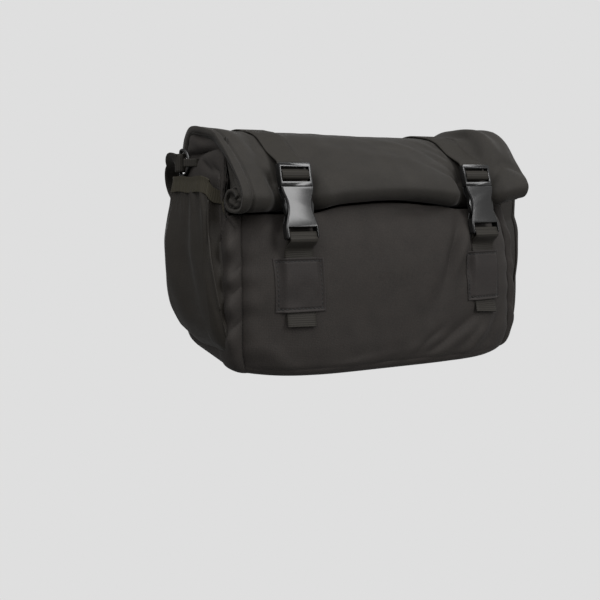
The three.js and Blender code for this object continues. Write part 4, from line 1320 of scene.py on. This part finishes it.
def ring_piece(hand, low, high):
    centre = (low + high) / 2
    flat = ring_outline()
    along = unit(np.roll(flat, -1, axis=0) - np.roll(flat, 1, axis=0))
    normal = np.stack([along[:, 1], -along[:, 0]], axis=1)
    rows = []
    for angle in np.linspace(0, 2 * np.pi, WIRE_POINTS + 1)[:-1]:
        place = flat + normal * np.cos(angle) * RING_WIRE / 2
        x = np.full(len(flat), centre[0] + np.sin(angle) * RING_WIRE / 2)
        rows.append(np.stack([x, centre[1] - place[:, 0], centre[2] + place[:, 1]], axis=1))
    rows.append(rows[0])
    return cloth_grid(f"corner_ring_{hand}_wire", np.array(rows), around=True)


ring_boxes = {}
for hand, _ in HANDS:
    ring_boxes[hand] = [np.array(corner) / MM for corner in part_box(f"corner_ring_{hand}")]
    ring = ring_piece(hand, *ring_boxes[hand])
    welded(ring.data, WELD)
    finish_piece(ring, ring_nylon, "ring_plastic", f"corner_ring_{hand}")

# %% [markdown]
# A small webbing loop sews each ring to the gusset, and the bar strap goes through the ring, turns a
# quarter round, passes over the bar and comes back to the bag's back.

# %% Ring loops and bar straps
RING_WRAP = RING_WIRE * 0.75 + SEAT + WEBBING / 2 + 0.35
BAR_STRAP_WIDTH = 16.0
BAR_STRAP_END = -48.0
BAR_STRAP_LEAN = 13.0
BAR_STRAP_INSET = 6.0
BAR_STRAP_RISE = 3.0
BAR_STRAP_WRAP = 1.12
TWIST_WEIGHT = 20
LOOP_WIDTH = 7.0
LOOP_ROWS = 60
BAR_STRAP_ROWS = 220


def ring_loop_path(side, low, high):
    x, z = abs((low[0] + high[0]) / 2), (low[2] + high[2]) / 2
    front = low[1] + RING_WIRE / 2 + SEAT / 2
    rows = [(x - RING_WRAP, front - 12, z)]
    for angle in np.linspace(0, np.pi, 7):
        rows.append((x - RING_WRAP * np.cos(angle), front + RING_WRAP * np.sin(angle), z))
    rows.append((x - RING_WRAP + WEBBING + SEAT + 0.4, front - 6, z))
    rows.append((x - RING_WRAP + WEBBING + SEAT, front - 12, z))
    return np.array(rows) * np.array([side, 1, 1])


def bar_strap_path(side, low, high):
    x, z = abs((low[0] + high[0]) / 2), (low[2] + high[2]) / 2
    back = high[1] - RING_WIRE / 2
    around = BAR_RADIUS + BAR_CLEAR + WEBBING / 2
    rows, turns = [(x - RING_WRAP, back + 4, z)], [0.0]
    for angle in np.linspace(0, np.pi, 7):
        rows.append((x - RING_WRAP * np.cos(angle), back - RING_WRAP * np.sin(angle), z))
        turns.append(0.0)
    for share in np.linspace(1 / 7, 1, 7):
        lift = BAR_STRAP_RISE * np.sin(np.pi * share)
        out = mix(x + RING_WRAP, x - BAR_STRAP_INSET, share**2)
        rows.append((out, mix(back, 0, share), mix(z, around, share**2) + lift))
        turns.append(share * np.pi / 2)
    for share in np.linspace(1 / 12, 1, 12):
        angle = np.pi / 2 - share * np.pi * BAR_STRAP_WRAP
        out = x - BAR_STRAP_INSET - BAR_STRAP_LEAN * share
        rows.append((out, around * np.cos(angle), around * np.sin(angle)))
        turns.append(np.pi / 2)
    rest = BACK_FACE + SEAT + WEBBING / 2
    foot = x - BAR_STRAP_INSET - BAR_STRAP_LEAN
    rows += [(foot - 2, rest + 3, -around - 4), (foot - 3, rest + 0.3, -around - 10)]
    rows += [(foot - 4, rest + 0.3, BAR_STRAP_END)]
    turns += [np.pi / 2] * 3
    return np.array(rows) * np.array([side, 1, 1]), np.array(turns)


for hand, side in HANDS:
    path = spaced_path(ring_loop_path(side, *ring_boxes[hand]), LOOP_ROWS)
    loop = swept_band(f"ring_loop_{hand}_webbing", path, UPRIGHT, LOOP_WIDTH, WEBBING)
    finish_piece(loop, webbing, "webbing", f"ring_loop_{hand}")
    rows, turns = bar_strap_path(side, *ring_boxes[hand])
    twisted = spaced_path(np.hstack([rows, turns[:, None] * TWIST_WEIGHT]), BAR_STRAP_ROWS)
    path, turn = twisted[:, :3], twisted[:, 3] / TWIST_WEIGHT
    across = np.stack([side * np.sin(turn), 0 * turn, np.cos(turn)], axis=1)
    strap = swept_band(f"bar_strap_{hand}_webbing", path, across, BAR_STRAP_WIDTH, WEBBING)
    finish_piece(strap, webbing, "webbing", f"bar_strap_{hand}")

# %% [markdown]
# The buckles' measured shapes are right, but a mould never leaves a knife edge. A merged copy of each
# gets a narrow bevel on its sharp edges, and that is what catches the light.

# %% The moulded buckles
MOULD_EDGE = 0.45


def moulded_copy(node_name, name, width):
    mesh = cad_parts[node_name].data.copy()
    welded(mesh, 2 * WELD, 3)
    mesh.name = name
    piece = linked(name, mesh)
    rounded(piece, width, 3, 32).harden_normals = True
    mesh.polygons.foreach_set("use_smooth", [True] * len(mesh.polygons))
    return piece


for hand, _ in HANDS:
    for half in ("buckle_plug", "buckle_socket"):
        piece = moulded_copy(f"{half}_{hand}", f"{half}_{hand}_moulded", MOULD_EDGE)
        finish_piece(piece, acetal, "buckle_plastic", f"{half}_{hand}")

# %% [markdown]
# Stitches repeat, so Geometry Nodes set them. The tree turns a line of points into a curve, samples
# it at the stitch length, puts one small rounded stitch on each point along the line, shorter than
# that length, so gaps show between them, and ends in real mesh with its thread material.

# %% A tree that sews
THREAD_SHOWN = 0.78


def sewing_tree():
    tree = bpy.data.node_groups.new("lockstitch", "GeometryNodeTree")
    face = tree.interface
    face.new_socket("Seam", in_out="INPUT", socket_type="NodeSocketGeometry")
    for name, value in (("Stitch length", 0.0030), ("Thread width", 0.0007)):
        face.new_socket(name, in_out="INPUT", socket_type="NodeSocketFloat").default_value = value
    face.new_socket("Stitches", in_out="OUTPUT", socket_type="NodeSocketGeometry")
    given = add_node(tree, "NodeGroupInput")
    line = add_node(tree, "GeometryNodeMeshToCurve", {"Mesh": given.outputs["Seam"]})
    even = add_node(tree, "GeometryNodeResampleCurve", {"Curve": line.outputs["Curve"]}, mode="LENGTH")
    tree.links.new(given.outputs["Stitch length"], even.inputs["Length"])
    ball = add_node(tree, "GeometryNodeMeshUVSphere", Segments=8, Rings=6, Radius=0.5)
    size = add_node(tree, "ShaderNodeCombineXYZ")
    reach = add_node(tree, "ShaderNodeMath", {0: given.outputs["Stitch length"]}, operation="MULTIPLY")
    reach.inputs[1].default_value = THREAD_SHOWN
    tree.links.new(reach.outputs[0], size.inputs["Z"])
    for axis in ("X", "Y"):
        tree.links.new(given.outputs["Thread width"], size.inputs[axis])
    tangent = add_node(tree, "GeometryNodeInputTangent")
    turn = add_node(
        tree, "FunctionNodeAlignRotationToVector", {"Vector": tangent.outputs["Tangent"]}, axis="Z"
    )
    points = add_node(
        tree,
        "GeometryNodeInstanceOnPoints",
        {
            "Points": even.outputs["Curve"],
            "Instance": ball.outputs["Mesh"],
            "Rotation": turn.outputs["Rotation"],
            "Scale": size.outputs["Vector"],
        },
    )
    real = add_node(tree, "GeometryNodeRealizeInstances", {"Geometry": points.outputs["Instances"]})
    dyed = add_node(tree, "GeometryNodeSetMaterial", {"Geometry": real.outputs["Geometry"]}, Material=thread)
    add_node(tree, "NodeGroupOutput", {"Stitches": dyed.outputs["Geometry"]})
    return tree


sewing = sewing_tree()


def sew(name, lines, length, width, slot):
    """Stitches along lines of points in millimetres, as one piece."""
    points, edges = [], []
    for line in lines:
        start = len(points)
        points += [tuple(p) for p in np.asarray(line) * MM]
        edges += [(start + i, start + i + 1) for i in range(len(line) - 1)]
    mesh = bpy.data.meshes.new(name)
    mesh.from_pydata(points, edges, [])
    piece = linked(name, mesh)
    modifier = piece.modifiers.new("sewing", "NODES")
    modifier.node_group = sewing
    sizes = {"Stitch length": length * MM, "Thread width": width * MM}
    for item in sewing.interface.items_tree:
        if item.name in sizes:
            modifier[item.identifier] = sizes[item.name]
    bake(piece)
    finish_piece(piece, thread, slot)


# %% [markdown]
# The patches show the stitching best: one line just inside each side. The helper reads the line off
# the patch's own grid and lifts it a little, so that each stitch lies half in the cloth.

# %% Stitches of the patches
BORDER_ROWS = 4
THREAD_LIFT = 0.1
STITCH_LENGTH = 3.4
THREAD_WIDTH = 1.0


def along_grid(grid, rows, columns, lift):
    last_row, last_column = grid.shape[0] - 1, grid.shape[1] - 1
    across = grid[rows, np.minimum(columns + 1, last_column)] - grid[rows, np.maximum(columns - 1, 0)]
    down = grid[np.minimum(rows + 1, last_row), columns] - grid[np.maximum(rows - 1, 0), columns]
    return grid[rows, columns] + unit(np.cross(down, across)) * lift


def border_lines(grid, inset, lift):
    last = grid.shape[0] - 1
    span = np.arange(inset, last - inset + 1)
    full = np.full(len(span), inset)
    other = np.full(len(span), last - inset)
    pairs = [(full, span), (span, other), (other, span[::-1]), (span[::-1], full)]
    return [along_grid(grid, rows, columns, lift) for rows, columns in pairs]


for hand, _ in HANDS:
    lines = border_lines(patch_grids[hand], BORDER_ROWS, THREAD_LIFT)
    sew(f"patch_stitches_{hand}", lines, STITCH_LENGTH, THREAD_WIDTH, "patch_cloth")

# %% [markdown]
# The scene is a pale sweep with soft light, as in a studio. The camera stands about thirty degrees to
# the bag's left, level with the bar, and its picture is shifted rather than tilted.

# %% Floor, light and camera
FLOOR_LEVEL = -0.62
SWEEP_FRONT, SWEEP_BACK = -4.0, 1.6
SWEEP_BEND = 0.7
SWEEP_TOP = 3.2
SWEEP_HALF = 5.0
VIEW_TURN = np.radians(-30)


def studio_paper():
    """Pale paper that the lens sees evenly lit, and that throws little light back on the bag."""
    material, tree = new_material("studio_paper")
    seen = add_node(tree, "ShaderNodeEmission", Color=linear("#dfdfdf"), Strength=1.0)
    lit = add_node(tree, "ShaderNodeBsdfDiffuse", Color=linear("#8f8f8f"))
    ray = add_node(tree, "ShaderNodeLightPath").outputs["Is Camera Ray"]
    both = add_node(tree, "ShaderNodeMixShader", {"Fac": ray, 1: lit.outputs[0], 2: seen.outputs[0]})
    add_node(tree, "ShaderNodeOutputMaterial", {"Surface": both.outputs[0]})
    return material


def sweep_points():
    rows = []
    for angle in np.linspace(0, 1, 25) * np.pi / 2:
        back = SWEEP_BACK + SWEEP_BEND * np.sin(angle)
        rows.append((back, FLOOR_LEVEL + SWEEP_BEND * (1 - np.cos(angle))))
    return [(SWEEP_FRONT, FLOOR_LEVEL), *rows, (SWEEP_BACK + SWEEP_BEND, SWEEP_TOP)]


sweep_mesh = bpy.data.meshes.new("studio_sweep")
profile = sweep_points()
sweep_mesh.from_pydata(
    [(x, y, z) for x in (-SWEEP_HALF, SWEEP_HALF) for y, z in profile],
    [],
    [(i, i + 1, i + 1 + len(profile), i + len(profile)) for i in range(len(profile) - 1)],
)
sweep_mesh.polygons.foreach_set("use_smooth", [True] * len(sweep_mesh.polygons))
sweep_mesh.materials.append(studio_paper())
sweep = linked("studio_sweep", sweep_mesh)
sweep.rotation_euler = (0, 0, VIEW_TURN)

BAG_MIDDLE = Vector((0.0, -0.075, -0.05))


def soft_light(name, direction, distance, size, power):
    lamp = bpy.data.lights.new(name, "AREA")
    lamp.shape = "RECTANGLE"
    lamp.size, lamp.size_y = size
    lamp.energy = power
    light = linked(name, lamp)
    light.location = BAG_MIDDLE + Vector(direction).normalized() * distance
    light.rotation_euler = (BAG_MIDDLE - light.location).to_track_quat("-Z", "Y").to_euler()


soft_light("key_softbox", (0.31, -0.79, 0.48), 1.7, (0.6, 1.1), 16)
soft_light("top_softbox", (-0.45, -0.3, 1.0), 1.6, (1.4, 1.2), 16)
soft_light("left_fill", (-1.0, -0.6, 0.7), 2.0, (0.8, 0.8), 5)
soft_light("right_rim", (1.0, 0.25, 0.5), 1.7, (0.5, 1.0), 4)
soft_light("back_fill", (0.25, 1.0, 0.1), 2.0, (1.2, 1.0), 6)

AIR_COLOUR = "#dcdcdc"
AIR_LIGHT = 0.7
world = bpy.data.worlds.new("studio_air")
bpy.context.scene.world = world
world.use_nodes = True
air = world.node_tree.nodes["Background"].inputs
air["Color"].default_value = linear(AIR_COLOUR)
air["Strength"].default_value = AIR_LIGHT
bpy.context.scene.view_settings.view_transform = "Standard"

PICTURE_WIDTH = 600
BAR_ABOVE_MIDDLE = 115
FOCAL_LENGTH = 60.6
SENSOR_WIDTH = 36
CAMERA_PLACE = (-0.4937, -0.8304, 0.0)
lens = bpy.data.cameras.new("photo_camera")
lens.lens = FOCAL_LENGTH
lens.sensor_width = SENSOR_WIDTH
lens.shift_y = -BAR_ABOVE_MIDDLE / PICTURE_WIDTH
camera = linked("photo_camera", lens)
camera.location = CAMERA_PLACE
camera.rotation_euler = (np.radians(90), 0, VIEW_TURN)
bpy.context.scene.camera = camera
